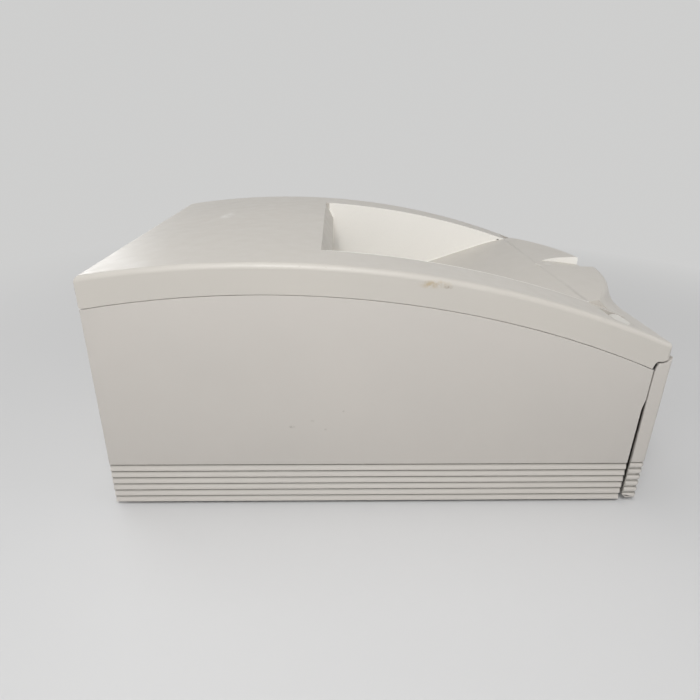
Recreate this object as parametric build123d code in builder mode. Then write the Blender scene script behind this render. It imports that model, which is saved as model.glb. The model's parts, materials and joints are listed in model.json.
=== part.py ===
from build123d import *
import math
import os

os.makedirs("parts", exist_ok=True)

# Desktop printer for sheets of dry medical film, in millimetres.
# Origin on the floor under the middle of the cabinet, front towards -Y, +Z up.

# Cabinet
case_length = 560.0
case_width = 424.0
foot_height = 4.0
wall = 3.0
part_gap = 0.3
seam_gap = 0.6

# Crown of the lid and the arched seam under it, as arcs seen from the side
crown_radius = 1025.0
crown_peak_y = 114.0
crown_height = 263.5
seam_radius = 969.0
seam_peak_y = 110.0
seam_height = 234.0
crown_edge_r = 5.5
front_corner_r = 5.0

# Stepped lower front edge of the lid, over the top of the door
face_back = 3.5
lip_back = 19.7
land_rise = 6.5
land_gap = 1.8
land_round = 1.9
land_run = 5.4
lip_drop = 2.7

# Film, well and ramp
film_width = 279.4
film_length = 355.6
film_side_room = 14.1
well_rear_y = 62.6
well_lip_drop = 21.5
well_lip_run = 10.9
ramp_slope = 0.346
ramp_low_z = 122.0
tongue_z = 213.5
crest_radius = 232.0
flank_width = 25.0
flank_start = 7.0
flank_heights = (
    (1.0, 0.985),
    (3.5, 0.93),
    (7.0, 0.68),
    (10.5, 0.43),
    (14.0, 0.26),
    (18.0, 0.13),
    (22.0, 0.04),
)
tongue_turn = 44.0
tongue_sections = 9
tongue_root_r = 150.0
tongue_rear_y = -190.0
face_step = 0.3
tongue_blend_r = 240.0
notch_half_width = 25.0
notch_length = 62.0
notch_depth = 10.0
notch_tip_depth = 1.5
slot_half_height = 9.0

# Front frame and front door
frame_back = 22.0
frame_t = 2.5
door_depth = 16.3
door_wall = 2.4
door_foot_gap = 1.0
door_hinge_back = 8.0
door_hinge_z = 12.0
door_pin_r = 2.0
rib_count = 6
rib_pitch = 7.8
rib_groove = 1.7
rib_depth = 2.2

# Film tray
tray_wall = 2.5
tray_floor_z = 44.0
tray_depth = 26.0
tray_front_back = 28.0
stack_height = 20.0

# Print engine
chassis_x = 178.0
plate_t = 2.0
film_plane_z = 200.0
platen_r = 15.0
platen_behind_rim = 72.4
exit_behind_rim = 22.4
exit_r = 9.0
pick_r = 12.0
shaft_r = 4.0
shaft_fit = 0.05
gear_module = 1.0
gear_face = 6.0
platen_teeth = 48
idler_teeth = 18
exit_teeth = 24
pinion_teeth = 16
guide_t = 1.5
guide_gap = 2.0
tooth_tip = 0.9
tooth_root = 1.2
tip_share = 0.11
root_share = 0.36

# Lid hinge
hinge_r = 2.0
lid_pin_r = 1.0
hinge_span = 40.0
hinge_x = 130.0

# Buttons on the rails
pocket_length = 38.0
pocket_width = 28.0
button_length = 30.0
button_width = 11.0
button_gap = 0.4
lamp_r = 1.8
pocket_corner_r = 8.0
high = 40.0

x_side = case_width / 2
y_front = -case_length / 2
y_rear = case_length / 2
casing_z = foot_height
face_y = y_front + face_back
crown_z0 = crown_height - crown_radius
seam_z0 = seam_height - seam_radius
frame_y = y_front + frame_back
well_x = film_width / 2 + film_side_room
rail_mid_x = (x_side + well_x) / 2
crest_y = face_y + 2 * face_step + crest_radius


def crown(y, inset=0.0):
    return crown_z0 + math.sqrt((crown_radius - inset) ** 2 - (y - crown_peak_y) ** 2)


def seam(y, lift=0.0):
    return seam_z0 + lift + math.sqrt(seam_radius**2 - (y - seam_peak_y) ** 2)


def crown_arc(y1, y2, inset=0.0):
    ym = (y1 + y2) / 2
    return ThreePointArc((y1, crown(y1, inset)), (ym, crown(ym, inset)), (y2, crown(y2, inset)))


def seam_arc(y1, y2, lift=0.0):
    ym = (y1 + y2) / 2
    return ThreePointArc((y1, seam(y1, lift)), (ym, seam(ym, lift)), (y2, seam(y2, lift)))


def keep(part, name):
    part.label = name
    export_step(part, "parts/" + name + ".step")


well_wall_y = well_rear_y - well_lip_run
well_lip_z = crown(well_rear_y) - well_lip_drop
ramp_end_y = well_wall_y - (tongue_z - ramp_low_z) / ramp_slope
ramp_turn = math.atan(ramp_slope)
blend_length = tongue_blend_r * math.tan(ramp_turn / 2)
blend_sag = tongue_blend_r * (1 / math.cos(ramp_turn / 2) - 1)
blend_front_y = ramp_end_y - blend_length
blend_rear_y = ramp_end_y + blend_length * math.cos(ramp_turn)
blend_middle_y = blend_front_y + tongue_blend_r * math.sin(ramp_turn / 2)
blend_middle_z = tongue_z - tongue_blend_r * (1 - math.cos(ramp_turn / 2))
wall_end_y = ramp_end_y + 10.0
lip_rear_y = y_front + lip_back
door_land_z = seam(lip_rear_y) + land_rise
lid_land_z = door_land_z + land_gap
lid_lip_z = lid_land_z + lip_drop
lid_low_z = ramp_low_z - 2 * wall
latch_y = y_front + 35.0
latch_z = 176.0
latch_shaft_r = 3.0
pocket_rear_y = y_front + 62.0
pocket_front_y = pocket_rear_y - pocket_width
pocket_z = crown(pocket_front_y)
button_y = pocket_rear_y - pocket_width / 2 - 1.0
latch_ear_half = 7.0
latch_ear_t = 5.0
latch_ear_x = well_x - 12.0
lamp_y = pocket_rear_y - 4.3
hinge_y = y_rear - hinge_r
seam_tilt = (hinge_y - seam_peak_y) / (seam(hinge_y) - seam_z0)
seam_lean = seam_tilt / math.sqrt(1 + seam_tilt**2)
hinge_z = seam(hinge_y, seam_gap) + hinge_r * math.sqrt(1 + seam_tilt**2)


def ramp(y):
    return ramp_low_z + ramp_slope * (well_wall_y - y)


# Lid: the tongue in front of the well, with a concave flank that fades into the crown
def tongue(inset, roof):
    with BuildPart() as body:
        for step in range(tongue_sections):
            turn = math.radians(tongue_turn * (2 * step / (tongue_sections - 1) - 1))
            radial = (math.sin(turn), -math.cos(turn), 0)
            across = (math.cos(turn), math.sin(turn), 0)
            foot_r = crest_radius + flank_width
            foot_z = crown(crest_y - foot_r * math.cos(turn)) - seam_gap - inset
            top_z = tongue_z - roof
            drop = top_z - foot_z
            base_z = lid_lip_z - 5 * inset
            plane = Plane(origin=(0, crest_y, 0), x_dir=radial, z_dir=across)
            side = 1 if plane.y_dir.Z > 0 else -1
            edge_r = crest_radius - inset
            flank = [(edge_r + run, side * (foot_z + share * drop)) for run, share in flank_heights]
            start = (edge_r - flank_start, side * top_z)
            stop = (foot_r - inset, side * foot_z)
            with BuildSketch(plane):
                with BuildLine():
                    Line((tongue_root_r, side * base_z), (tongue_root_r, side * top_z))
                    Line((tongue_root_r, side * top_z), start)
                    Spline(start, *flank, stop, tangents=((1, 0), (1, 0)))
                    Line(stop, (foot_r - inset, side * base_z))
                    Line((foot_r - inset, side * base_z), (tongue_root_r, side * base_z))
                make_face()
        loft()
        with BuildSketch():
            with BuildLine():
                Polyline(
                    (-well_x + inset, tongue_rear_y),
                    (well_x - inset, tongue_rear_y),
                    (well_x - inset, face_y + face_step + inset),
                    (-well_x + inset, face_y + face_step + inset),
                    close=True,
                )
            make_face()
        extrude(amount=case_length, mode=Mode.INTERSECT)
    return body.part


tongue_skin = tongue(0, 0)
tongue_hollow = tongue(wall, wall + blend_sag)

# Space inside the lid's crown
with BuildPart() as crown_hollow:
    with BuildSketch(Plane.YZ):
        with BuildLine():
            arc = crown_arc(face_y + wall, y_rear - wall, wall)
            Polyline(arc @ 1, (y_rear - wall, lid_low_z), (face_y + wall, lid_low_z), arc @ 0)
        make_face()
    extrude(amount=x_side - wall, both=True)
    fillet(crown_hollow.edges().filter_by(Axis.Z).group_by(Axis.Y)[0], front_corner_r - wall)

# Side view of the lid, with its lower front edge stepped over the top of the door
with BuildPart() as lid_shell:
    with BuildSketch(Plane.YZ):
        with BuildLine():
            top = crown_arc(face_y, y_rear)
            low = seam_arc(hinge_y - hinge_r * seam_lean, lip_rear_y, seam_gap)
            # lower rear corner rounded about the hinge axis
            Line(top @ 1, (y_rear, hinge_z))
            ThreePointArc(
                (y_rear, hinge_z),
                (hinge_y + hinge_r * math.cos(math.pi / 4), hinge_z - hinge_r * math.sin(math.pi / 4)),
                low @ 0,
            )
            Polyline(
                low @ 1,
                (lip_rear_y - land_round, lid_land_z - land_round),
                (lip_rear_y - 2 * land_round, lid_land_z),
                (lip_rear_y - 2 * land_round - land_run, lid_land_z),
                (face_y, lid_lip_z),
                top @ 0,
            )
        make_face()
    extrude(amount=x_side, both=True)
    fillet(lid_shell.edges().filter_by(Axis.Z).group_by(Axis.Y)[0], front_corner_r)
    top_face = lid_shell.faces().sort_by(Axis.Z)[-1]
    fillet(top_face.edges(), crown_edge_r)
    add(tongue_skin)
    add(crown_hollow.part, mode=Mode.SUBTRACT)
    add(tongue_hollow, mode=Mode.SUBTRACT)
    # walls and floor of the well
    with BuildSketch(Plane.YZ):
        with BuildLine():
            back_y = well_rear_y + wall
            rim = crown_arc(wall_end_y, back_y, wall / 2)
            Polyline(
                rim @ 1,
                (back_y, well_lip_z - wall),
                (well_wall_y + wall, well_lip_z - 2 * wall),
                (well_wall_y + wall, ramp_low_z - wall),
                (well_wall_y, ramp_low_z - wall),
                (blend_rear_y, ramp(blend_rear_y) - wall),
                (wall_end_y, ramp(wall_end_y) - wall - blend_sag),
                rim @ 0,
            )
        make_face()
    extrude(amount=well_x + wall, both=True)
    with BuildSketch(Plane.YZ):
        with BuildLine():
            Polyline(
                (wall_end_y, ramp(wall_end_y)),
                (wall_end_y, ramp(wall_end_y) - wall - blend_sag),
                (ramp_end_y, tongue_z - wall - blend_sag),
                (ramp_end_y, tongue_z),
                close=True,
            )
        make_face()
    extrude(amount=well_x, both=True)
    # the well itself, with the ramp blended into the tongue
    with BuildSketch(Plane.YZ):
        with BuildLine():
            blend = ThreePointArc(
                (blend_rear_y, ramp(blend_rear_y)),
                (blend_middle_y, blend_middle_z),
                (blend_front_y, tongue_z),
            )
            Polyline(
                blend @ 1,
                (y_front - high, tongue_z),
                (y_front - high, crown_height + high),
                (well_rear_y, crown_height + high),
                (well_rear_y, crown(well_rear_y)),
                (well_wall_y, well_lip_z),
                (well_wall_y, ramp_low_z),
                blend @ 0,
            )
        make_face()
    extrude(amount=well_x, both=True, mode=Mode.SUBTRACT)
    # exit slot for the film
    with BuildSketch(Plane.XZ.offset(-well_wall_y - wall / 2)):
        with Locations((0, film_plane_z)):
            RectangleRounded(2 * well_x - wall, 2 * slot_half_height, wall)
    extrude(amount=3 * wall, both=True, mode=Mode.SUBTRACT)
    # finger notch in the tongue
    notch_floor = Plane(
        origin=(0, face_y, tongue_z - notch_depth),
        x_dir=(1, 0, 0),
        z_dir=(0, notch_tip_depth - notch_depth, notch_length),
    )
    with BuildSketch(Plane.XY.offset(tongue_z - notch_depth - 2 * wall)) as notch_block:
        with Locations((0, face_y)):
            Ellipse(notch_half_width + wall, notch_length + wall)
        with BuildLine():
            Polyline((-well_x, face_y), (well_x, face_y), (well_x, 0), (-well_x, 0), close=True)
        make_face(mode=Mode.INTERSECT)
    extrude(amount=notch_depth + wall)
    with BuildSketch(notch_floor):
        Ellipse(notch_half_width, notch_length)
    extrude(amount=high, mode=Mode.SUBTRACT)
    # pockets for the buttons, one in each rail
    for side in (-1, 1):
        with BuildSketch(Plane.YZ.offset(side * rail_mid_x)):
            with BuildLine():
                cap = crown_arc(pocket_front_y - wall, pocket_rear_y + wall, wall / 2)
                Polyline(
                    cap @ 1,
                    (pocket_rear_y + wall, pocket_z - wall),
                    (pocket_front_y - wall, pocket_z - wall),
                    cap @ 0,
                )
            make_face()
        extrude(amount=pocket_length / 2 + wall, both=True)
        with BuildSketch(Plane.XY.offset(pocket_z)):
            with Locations((side * rail_mid_x, (pocket_front_y + pocket_rear_y) / 2)):
                RectangleRounded(pocket_length, pocket_width, pocket_corner_r)
        extrude(amount=high, mode=Mode.SUBTRACT)
        with BuildSketch(Plane.XY.offset(pocket_z - 2 * wall)):
            with Locations((side * rail_mid_x, button_y)):
                SlotOverall(button_length + 2 * button_gap, button_width + 2 * button_gap)
        extrude(amount=4 * wall, mode=Mode.SUBTRACT)
    # hole for the lamp in the right pocket
    with BuildSketch(Plane.XY.offset(pocket_z - 2 * wall)):
        with Locations((rail_mid_x, lamp_y)):
            Circle(lamp_r + part_gap)
    extrude(amount=high, mode=Mode.SUBTRACT)
    # bearing ears for the latch shaft
    for side in (-1, 1):
        with BuildSketch(Plane.YZ.offset(side * latch_ear_x)):
            with BuildLine():
                Polyline(
                    (latch_y - latch_ear_half, latch_z - latch_ear_half),
                    (latch_y + latch_ear_half, latch_z - latch_ear_half),
                    (latch_y + latch_ear_half, crown(latch_y + latch_ear_half, wall / 2)),
                    (latch_y - latch_ear_half, crown(latch_y - latch_ear_half, wall / 2)),
                    close=True,
                )
            make_face()
            with Locations((latch_y, latch_z)):
                Circle(latch_shaft_r + shaft_fit, mode=Mode.SUBTRACT)
        extrude(amount=latch_ear_t / 2, both=True)
    # room for the hinge knuckles in the rear wall
    with BuildSketch(Plane.XZ.offset(-y_rear)):
        with Locations((hinge_x, hinge_z), (-hinge_x, hinge_z)):
            Rectangle(hinge_span + 1.0, 2 * hinge_r + 2.0)
    extrude(amount=2 * wall, both=True, mode=Mode.SUBTRACT)
keep(lid_shell.part, "lid_shell")


# Casing: ribbed side panels with an arched top edge
panel_front_y = y_front + 20.0
jog_low_z = casing_z + 112.0
jog_high_z = casing_z + 123.0
jog_low = 0.5
jog_high = 2.5
rib_slope = 1.6
foot_t = 6.0
foot_top_z = casing_z + rib_count * rib_pitch + 4.0
foot_front = frame_y + frame_t + part_gap
boss_r = 5.0
chassis_front_y = y_front + 65.0
chassis_rear_y = y_rear - 16.0
panel_boss_y = (chassis_front_y + 4 * boss_r, chassis_rear_y - 4 * boss_r)
panel_boss_z = (40.0, 120.0)


def side_panel(side):
    with BuildPart() as body:
        with BuildSketch(Plane.YZ.offset(side * (x_side - wall / 2))):
            with BuildLine():
                top = seam_arc(panel_front_y - jog_high, y_rear)
                Polyline(
                    top @ 1,
                    (y_rear, casing_z),
                    (panel_front_y, casing_z),
                    (panel_front_y - jog_low, jog_low_z),
                    (panel_front_y - jog_high, jog_high_z),
                    top @ 0,
                )
            make_face()
        extrude(amount=wall / 2, both=True)
        # thicker foot behind the ribs
        with BuildSketch(Plane.XZ.offset(-foot_front)):
            with Locations((side * (x_side - foot_t / 2), (casing_z + foot_top_z) / 2)):
                Rectangle(foot_t, foot_top_z - casing_z)
        extrude(amount=-(y_rear - wall - part_gap - foot_front))
        # sloped louvre faces with a groove above each
        with BuildSketch(Plane.XZ.offset(-y_front)):
            for count in range(rib_count):
                low_z = casing_z + count * rib_pitch
                groove_z = low_z + rib_pitch - rib_groove
                with BuildLine():
                    Polyline(
                        (side * (x_side + 1), low_z),
                        (side * x_side, low_z),
                        (side * (x_side - rib_slope), groove_z),
                        (side * (x_side - rib_depth), groove_z),
                        (side * (x_side - rib_depth), groove_z + rib_groove),
                        (side * (x_side + 1), groove_z + rib_groove),
                        close=True,
                    )
                make_face()
        extrude(amount=-case_length, mode=Mode.SUBTRACT)
        # bosses that carry the panel on the chassis
        with BuildSketch(Plane.YZ.offset(side * (chassis_x + plate_t))):
            with Locations(*[(y, z) for y in panel_boss_y for z in panel_boss_z]):
                Circle(boss_r)
        extrude(amount=side * (x_side - wall - chassis_x - plate_t))
    return body.part


for side, name in ((-1, "left_side_panel"), (1, "right_side_panel")):
    keep(side_panel(side), name)

# Base pan with a rim, the feet under it
screw_r = 1.5
screw_head_r = 2.8
screw_head_t = 1.5
cross_length = 3.6
cross_w = 0.8
cross_depth = 0.9
screw_z = casing_z + 7.0
screw_places = ((-180.0, screw_z), (-60.0, screw_z), (60.0, screw_z), (180.0, screw_z))
pan_front_y = frame_y + frame_t
pan_x = x_side - foot_t - part_gap
pan_t = 2.5
vent_rows = 2
vent_slots = 9
vent_length = 44.0
vent_w = 6.0
vent_pitch = 22.0
vent_y = y_rear - 110.0
pan_rim = 12.0
foot_chamfer = 1.0
foot_r = 11.0
foot_x = x_side - 30.0
foot_front_y = y_front + 45.0
foot_rear_y = y_rear - 30.0

with BuildPart() as base_pan:
    with BuildSketch(Plane.XY.offset(casing_z)):
        with Locations((0, (pan_front_y + y_rear - wall) / 2)):
            Rectangle(2 * pan_x, y_rear - wall - pan_front_y)
    extrude(amount=pan_rim)
    with BuildSketch(Plane.XY.offset(casing_z + pan_t)):
        with Locations((0, (pan_front_y + y_rear - wall) / 2)):
            Rectangle(2 * (pan_x - pan_t), y_rear - wall - pan_front_y - 2 * pan_t)
    extrude(amount=pan_rim, mode=Mode.SUBTRACT)
    with BuildSketch(Plane.XY.offset(casing_z)):
        with Locations((0, vent_y)):
            with GridLocations(vent_pitch, vent_length + 16, vent_slots, vent_rows):
                SlotOverall(vent_length, vent_w, rotation=90)
    extrude(amount=pan_t, mode=Mode.SUBTRACT)
    with BuildSketch(Plane.XZ.offset(-y_rear)):
        with Locations(*screw_places):
            Circle(screw_r)
    extrude(amount=wall + 2 * pan_t, mode=Mode.SUBTRACT)
keep(base_pan.part, "base_pan")

with BuildPart() as feet:
    with BuildSketch(Plane.XY):
        for y in (foot_front_y, foot_rear_y):
            with Locations((foot_x, y), (-foot_x, y)):
                Circle(foot_r)
    extrude(amount=foot_height)
    chamfer(feet.edges().group_by(Axis.Z)[0], foot_chamfer)
keep(feet.part, "feet")

# Rear panel with the fan grille and the sockets
rear_top_z = hinge_z - hinge_r - seam_gap
rear_x = x_side - wall - part_gap
fan_x = -95.0
fan_z = 70.0
fan_size = 60.0
fan_depth = 20.0
grille_rings = 3
grille_inner_r = 12.5
grille_pitch = 6.0
grille_slot = 4.2
grille_bridge = 3.5
inlet_x = 130.0
inlet_z = 45.0
inlet_w = 27.5
inlet_h = 20.0
switch_z = inlet_z + 30.0
switch_w = 22.0
switch_h = 14.0
jack_x = 60.0
jack_z = 45.0
jack_w = 16.0
jack_h = 14.0

with BuildPart() as rear_panel:
    with BuildSketch(Plane.XZ.offset(-y_rear)):
        with Locations((0, (rear_top_z + casing_z) / 2)):
            Rectangle(2 * rear_x, rear_top_z - casing_z)
        with Locations((inlet_x, inlet_z)):
            Rectangle(inlet_w, inlet_h, mode=Mode.SUBTRACT)
        with Locations((inlet_x, switch_z)):
            Rectangle(switch_w, switch_h, mode=Mode.SUBTRACT)
        with Locations((jack_x, jack_z)):
            Rectangle(jack_w, jack_h, mode=Mode.SUBTRACT)
        with Locations(*screw_places):
            Circle(screw_r, mode=Mode.SUBTRACT)
    extrude(amount=wall)
    with BuildSketch(Plane.XZ.offset(-y_rear)):
        with Locations(*screw_places):
            Circle(screw_head_r + part_gap)
    extrude(amount=screw_head_t, mode=Mode.SUBTRACT)
    # fan grille: rings of curved slots
    with BuildSketch(Plane(origin=(fan_x, y_rear, fan_z), x_dir=(1, 0, 0), z_dir=(0, -1, 0))):
        for ring in range(grille_rings):
            ring_r = grille_inner_r + ring * grille_pitch
            bridge = math.degrees(grille_bridge / ring_r)
            for quarter in range(4):
                start = 90 * quarter + bridge / 2
                stop = 90 * (quarter + 1) - bridge / 2
                with BuildLine():
                    inner = CenterArc((0, 0), ring_r - grille_slot / 2, start, stop - start)
                    outer = CenterArc((0, 0), ring_r + grille_slot / 2, start, stop - start)
                    Line(inner @ 0, outer @ 0)
                    Line(inner @ 1, outer @ 1)
                make_face()
    extrude(amount=wall, mode=Mode.SUBTRACT)
keep(rear_panel.part, "rear_panel")

with BuildPart() as panel_screws:
    with BuildSketch(Plane.XZ.offset(-y_rear)):
        with Locations(*screw_places):
            Circle(screw_head_r)
    extrude(amount=screw_head_t)
    with BuildSketch(Plane.XZ.offset(-y_rear)):
        with Locations(*screw_places):
            Circle(screw_r)
    extrude(amount=wall + 2 * pan_t)
    with BuildSketch(Plane.XZ.offset(-y_rear)):
        with Locations(*screw_places):
            Rectangle(cross_length, cross_w)
            Rectangle(cross_w, cross_length)
    extrude(amount=cross_depth, mode=Mode.SUBTRACT)
keep(panel_screws.part, "panel_screws")

# Front frame: window for the film tray, jamb strips beside the door, ears for the door hinge
tray_x = film_width / 2 + 1.5 + tray_wall
tray_front_y = y_front + tray_front_back
tray_rear_y = tray_front_y + film_length + 2 * tray_wall + 3.0
frame_x = x_side - wall - 0.4
frame_top_z = seam(frame_y) - 3.0
door_axis_y = y_front + door_hinge_back
ear_x = 192.0
ear_t = 4.0
ear_r = 5.0
ear_arm = 5.0
window_edge = 3.0
jamb_t = 2.0
jamb_depth = 12.0

with BuildPart() as front_frame:
    with BuildSketch(Plane.XZ.offset(-frame_y)):
        with Locations((0, (casing_z + frame_top_z) / 2)):
            Rectangle(2 * frame_x, frame_top_z - casing_z)
        with Locations((0, tray_floor_z + tray_depth / 2)):
            Rectangle(2 * (tray_x + window_edge), tray_depth + 2 * window_edge, mode=Mode.SUBTRACT)
    extrude(amount=-frame_t)
    for side in (-1, 1):
        with BuildSketch(Plane.XZ.offset(-frame_y)):
            with Locations((side * (frame_x - jamb_t / 2), (frame_top_z + jog_high_z) / 2)):
                Rectangle(jamb_t, frame_top_z - jog_high_z)
        extrude(amount=jamb_depth)
        with BuildSketch(Plane.YZ.offset(side * ear_x)):
            with BuildLine():
                Polyline(
                    (door_axis_y, door_hinge_z - ear_arm / 2),
                    (frame_y, door_hinge_z - ear_arm / 2),
                    (frame_y, door_hinge_z + ear_arm / 2),
                    (door_axis_y, door_hinge_z + ear_arm / 2),
                    close=True,
                )
            make_face()
            with Locations((door_axis_y, door_hinge_z)):
                Circle(ear_r)
                Circle(door_pin_r, mode=Mode.SUBTRACT)
        extrude(amount=ear_t / 2, both=True)
keep(front_frame.part, "front_frame")

# Front door: a shell open to the rear, flush flanges, six ribs wrapped round its foot
door_low_z = casing_z + door_foot_gap
door_lip_z = lid_lip_z + 1.4
door_foot_round = 4.0
door_rib_depth = 1.6
door_top_edge = (
    (0.0, door_lip_z - 1.2),
    (0.6, door_lip_z),
    (1.9, door_lip_z),
    (2.4, lid_lip_z - 0.7),
    (5.0, door_land_z + 1.3),
    (8.6, door_land_z),
    (13.1, door_land_z - 0.5),
    (15.4, door_land_z - 4.5),
    (door_depth, door_land_z - 10.5),
)
lug_t = 5.0
lug_gap = 0.4

with BuildPart() as front_door:
    with BuildSketch(Plane.YZ):
        with BuildLine():
            Polyline(
                (y_front, door_low_z),
                *[(y_front + back, z) for back, z in door_top_edge],
                (y_front + door_depth, door_low_z + door_foot_round),
                (y_front + door_depth - door_foot_round, door_low_z),
                close=True,
            )
        make_face()
    extrude(amount=x_side, both=True)
    fillet(front_door.edges().filter_by(Axis.Z).group_by(Axis.Y)[0], front_corner_r)
    with BuildSketch(Plane.XY.offset(door_low_z + wall)):
        with BuildLine():
            Polyline(
                (-x_side + wall, panel_front_y),
                (-x_side + wall, y_front + door_wall),
                (x_side - wall, y_front + door_wall),
                (x_side - wall, panel_front_y),
                close=True,
            )
        make_face()
    extrude(amount=door_land_z - 2 * wall - door_low_z, mode=Mode.SUBTRACT)
    for count in range(rib_count):
        groove_z = door_low_z + (count + 1) * rib_pitch - rib_groove
        with BuildSketch(Plane.XY.offset(groove_z)):
            with Locations((0, y_front)):
                Rectangle(2 * case_width, 2 * high)
            with Locations((0, y_front + high)):
                RectangleRounded(
                    case_width - 2 * door_rib_depth,
                    2 * (high - door_rib_depth),
                    front_corner_r,
                    mode=Mode.SUBTRACT,
                )
        extrude(amount=rib_groove, mode=Mode.SUBTRACT)
    for side in (-1, 1):
        # notch for the frame's ear, a lug on each side of it
        with BuildSketch(Plane.YZ.offset(side * ear_x)):
            with Locations((door_axis_y - ear_r + 1 + high, door_hinge_z + 2 * ear_r - high)):
                Rectangle(2 * high, 2 * high)
        extrude(amount=ear_t / 2 + lug_gap, both=True, mode=Mode.SUBTRACT)
        for lug in (-1, 1):
            with BuildSketch(Plane.YZ.offset(side * ear_x + lug * (ear_t + lug_t + 2 * lug_gap) / 2)):
                with Locations(((y_front + 1 + door_axis_y) / 2, door_hinge_z)):
                    Rectangle(door_hinge_back - 1, 2 * ear_r)
                with Locations((door_axis_y, door_hinge_z)):
                    Circle(ear_r)
                    Circle(door_pin_r + shaft_fit, mode=Mode.SUBTRACT)
            extrude(amount=lug_t / 2, both=True)
keep(front_door.part, "front_door")

with BuildPart() as door_hinge_pins:
    for side in (-1, 1):
        with BuildSketch(Plane.YZ.offset(side * ear_x)):
            with Locations((door_axis_y, door_hinge_z)):
                Circle(door_pin_r)
        extrude(amount=ear_t / 2 + lug_gap + lug_t, both=True)
keep(door_hinge_pins.part, "door_hinge_pins")

# Magnets on the frame hold steel plates in the door
catch_x = 170.0
catch_z = 140.0
catch_w = 24.0
catch_h = 10.0
catch_edge = 2.0
catch_plane_y = frame_y - jamb_depth

with BuildPart() as door_magnets:
    with BuildSketch(Plane.XZ.offset(-frame_y)):
        with Locations((catch_x, catch_z), (-catch_x, catch_z)):
            RectangleRounded(catch_w, catch_h, catch_edge)
    extrude(amount=frame_y - catch_plane_y)
keep(door_magnets.part, "door_magnets")

with BuildPart() as catch_plates:
    with BuildSketch(Plane.XZ.offset(-(y_front + door_wall))):
        with Locations((catch_x, catch_z), (-catch_x, catch_z)):
            RectangleRounded(catch_w - 2 * catch_edge, catch_h - catch_edge, 1)
    extrude(amount=-(catch_plane_y - part_gap - y_front - door_wall))
keep(catch_plates.part, "catch_plates")

# Film tray on runners, with its stack of sheets
stack_z = tray_floor_z + tray_wall
stack_top_z = stack_z + stack_height
pull_width = 60.0
film_corner_r = 6.0

with BuildPart() as film_tray:
    with BuildSketch(Plane.XY.offset(tray_floor_z)):
        with Locations((0, (tray_front_y + tray_rear_y) / 2)):
            Rectangle(2 * tray_x, tray_rear_y - tray_front_y)
    extrude(amount=tray_depth)
    with BuildSketch(Plane.XY.offset(stack_z)):
        with Locations((0, (tray_front_y + tray_rear_y) / 2)):
            Rectangle(2 * (tray_x - tray_wall), tray_rear_y - tray_front_y - 2 * tray_wall)
    extrude(amount=tray_depth, mode=Mode.SUBTRACT)
    # low rear wall, so that the tray passes under the pick roller
    with BuildSketch(Plane.XZ.offset(-tray_rear_y + 2 * tray_wall)):
        with Locations((0, stack_top_z - 1 + tray_depth)):
            Rectangle(2 * tray_x, 2 * tray_depth)
    extrude(amount=-4 * tray_wall, mode=Mode.SUBTRACT)
    # finger pull in the front wall
    with BuildSketch(Plane.XZ.offset(-tray_front_y)):
        with Locations((0, tray_floor_z + tray_depth)):
            SlotOverall(pull_width, tray_depth)
    extrude(amount=-2 * tray_wall, both=True, mode=Mode.SUBTRACT)
keep(film_tray.part, "film_tray")

with BuildPart() as film_stack:
    with BuildSketch(Plane.XY.offset(stack_z)):
        with Locations((0, (tray_front_y + tray_rear_y) / 2)):
            RectangleRounded(film_width, film_length, film_corner_r)
    extrude(amount=stack_height)
keep(film_stack.part, "film_stack")

# Chassis plates with the shaft bearings
platen_y = well_rear_y + platen_behind_rim
platen_z = film_plane_z - platen_r
exit_y = well_rear_y + exit_behind_rim
exit_z = film_plane_z - exit_r
pick_y = tray_rear_y - 21.6
pick_z = stack_top_z + 0.4 + pick_r
tie_z = 24.0
tie_inset = 10.0
plate_slope_y = 30.0
plate_slope_run = 40.0
bush_r = 7.0
bush_flange = 2.0
bush_flange_t = 1.5
bush_end = 1.0
chassis_top_z = 215.0
chassis_low_top_z = 150.0
tie_r = 4.0
deck_z = casing_z + pan_t
tie_places = (
    (chassis_front_y + tie_inset, tie_z),
    (chassis_rear_y - tie_inset, chassis_top_z - tie_inset - 2),
    (chassis_rear_y - 12 * tie_inset, tie_z),
)
platen_pitch_r = gear_module * platen_teeth / 2
pinion_pitch_r = gear_module * pinion_teeth / 2
idler_pitch_r = gear_module * idler_teeth / 2
exit_pitch_r = gear_module * exit_teeth / 2
gear_x = chassis_x + plate_t + 3.0
motor_turn = math.radians(-60.0)
motor_y = platen_y + (platen_pitch_r + pinion_pitch_r) * math.cos(motor_turn)
motor_z = platen_z + (platen_pitch_r + pinion_pitch_r) * math.sin(motor_turn)
# the idler meshes with both the platen gear and the exit gear, below their line of centres
reach = math.hypot(exit_y - platen_y, exit_z - platen_z)
to_platen = platen_pitch_r + idler_pitch_r
to_exit = exit_pitch_r + idler_pitch_r
along = (to_platen**2 - to_exit**2 + reach**2) / (2 * reach)
aside = math.sqrt(to_platen**2 - along**2)
line_turn = math.atan2(exit_z - platen_z, exit_y - platen_y)
idler_y = platen_y + along * math.cos(line_turn) - aside * math.sin(line_turn)
idler_z = platen_z + along * math.sin(line_turn) + aside * math.cos(line_turn)
idler_axle_r = 3.0
motor_shaft_r = 2.5
motor_room = 2.0


def chassis_plate(side):
    with BuildPart() as body:
        with BuildSketch(Plane.YZ.offset(side * chassis_x)):
            with BuildLine():
                Polyline(
                    (chassis_front_y, deck_z),
                    (chassis_rear_y, deck_z),
                    (chassis_rear_y, chassis_top_z),
                    (exit_y - plate_slope_y, chassis_top_z),
                    (exit_y - plate_slope_y - plate_slope_run, chassis_low_top_z),
                    (chassis_front_y, chassis_low_top_z),
                    close=True,
                )
            make_face()
            with Locations((platen_y, platen_z), (exit_y, exit_z), (pick_y, pick_z)):
                Circle(bush_r, mode=Mode.SUBTRACT)
            if side < 0:
                with Locations((motor_y, motor_z)):
                    Circle(motor_shaft_r + motor_room, mode=Mode.SUBTRACT)
        extrude(amount=side * plate_t)
    return body.part


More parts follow.
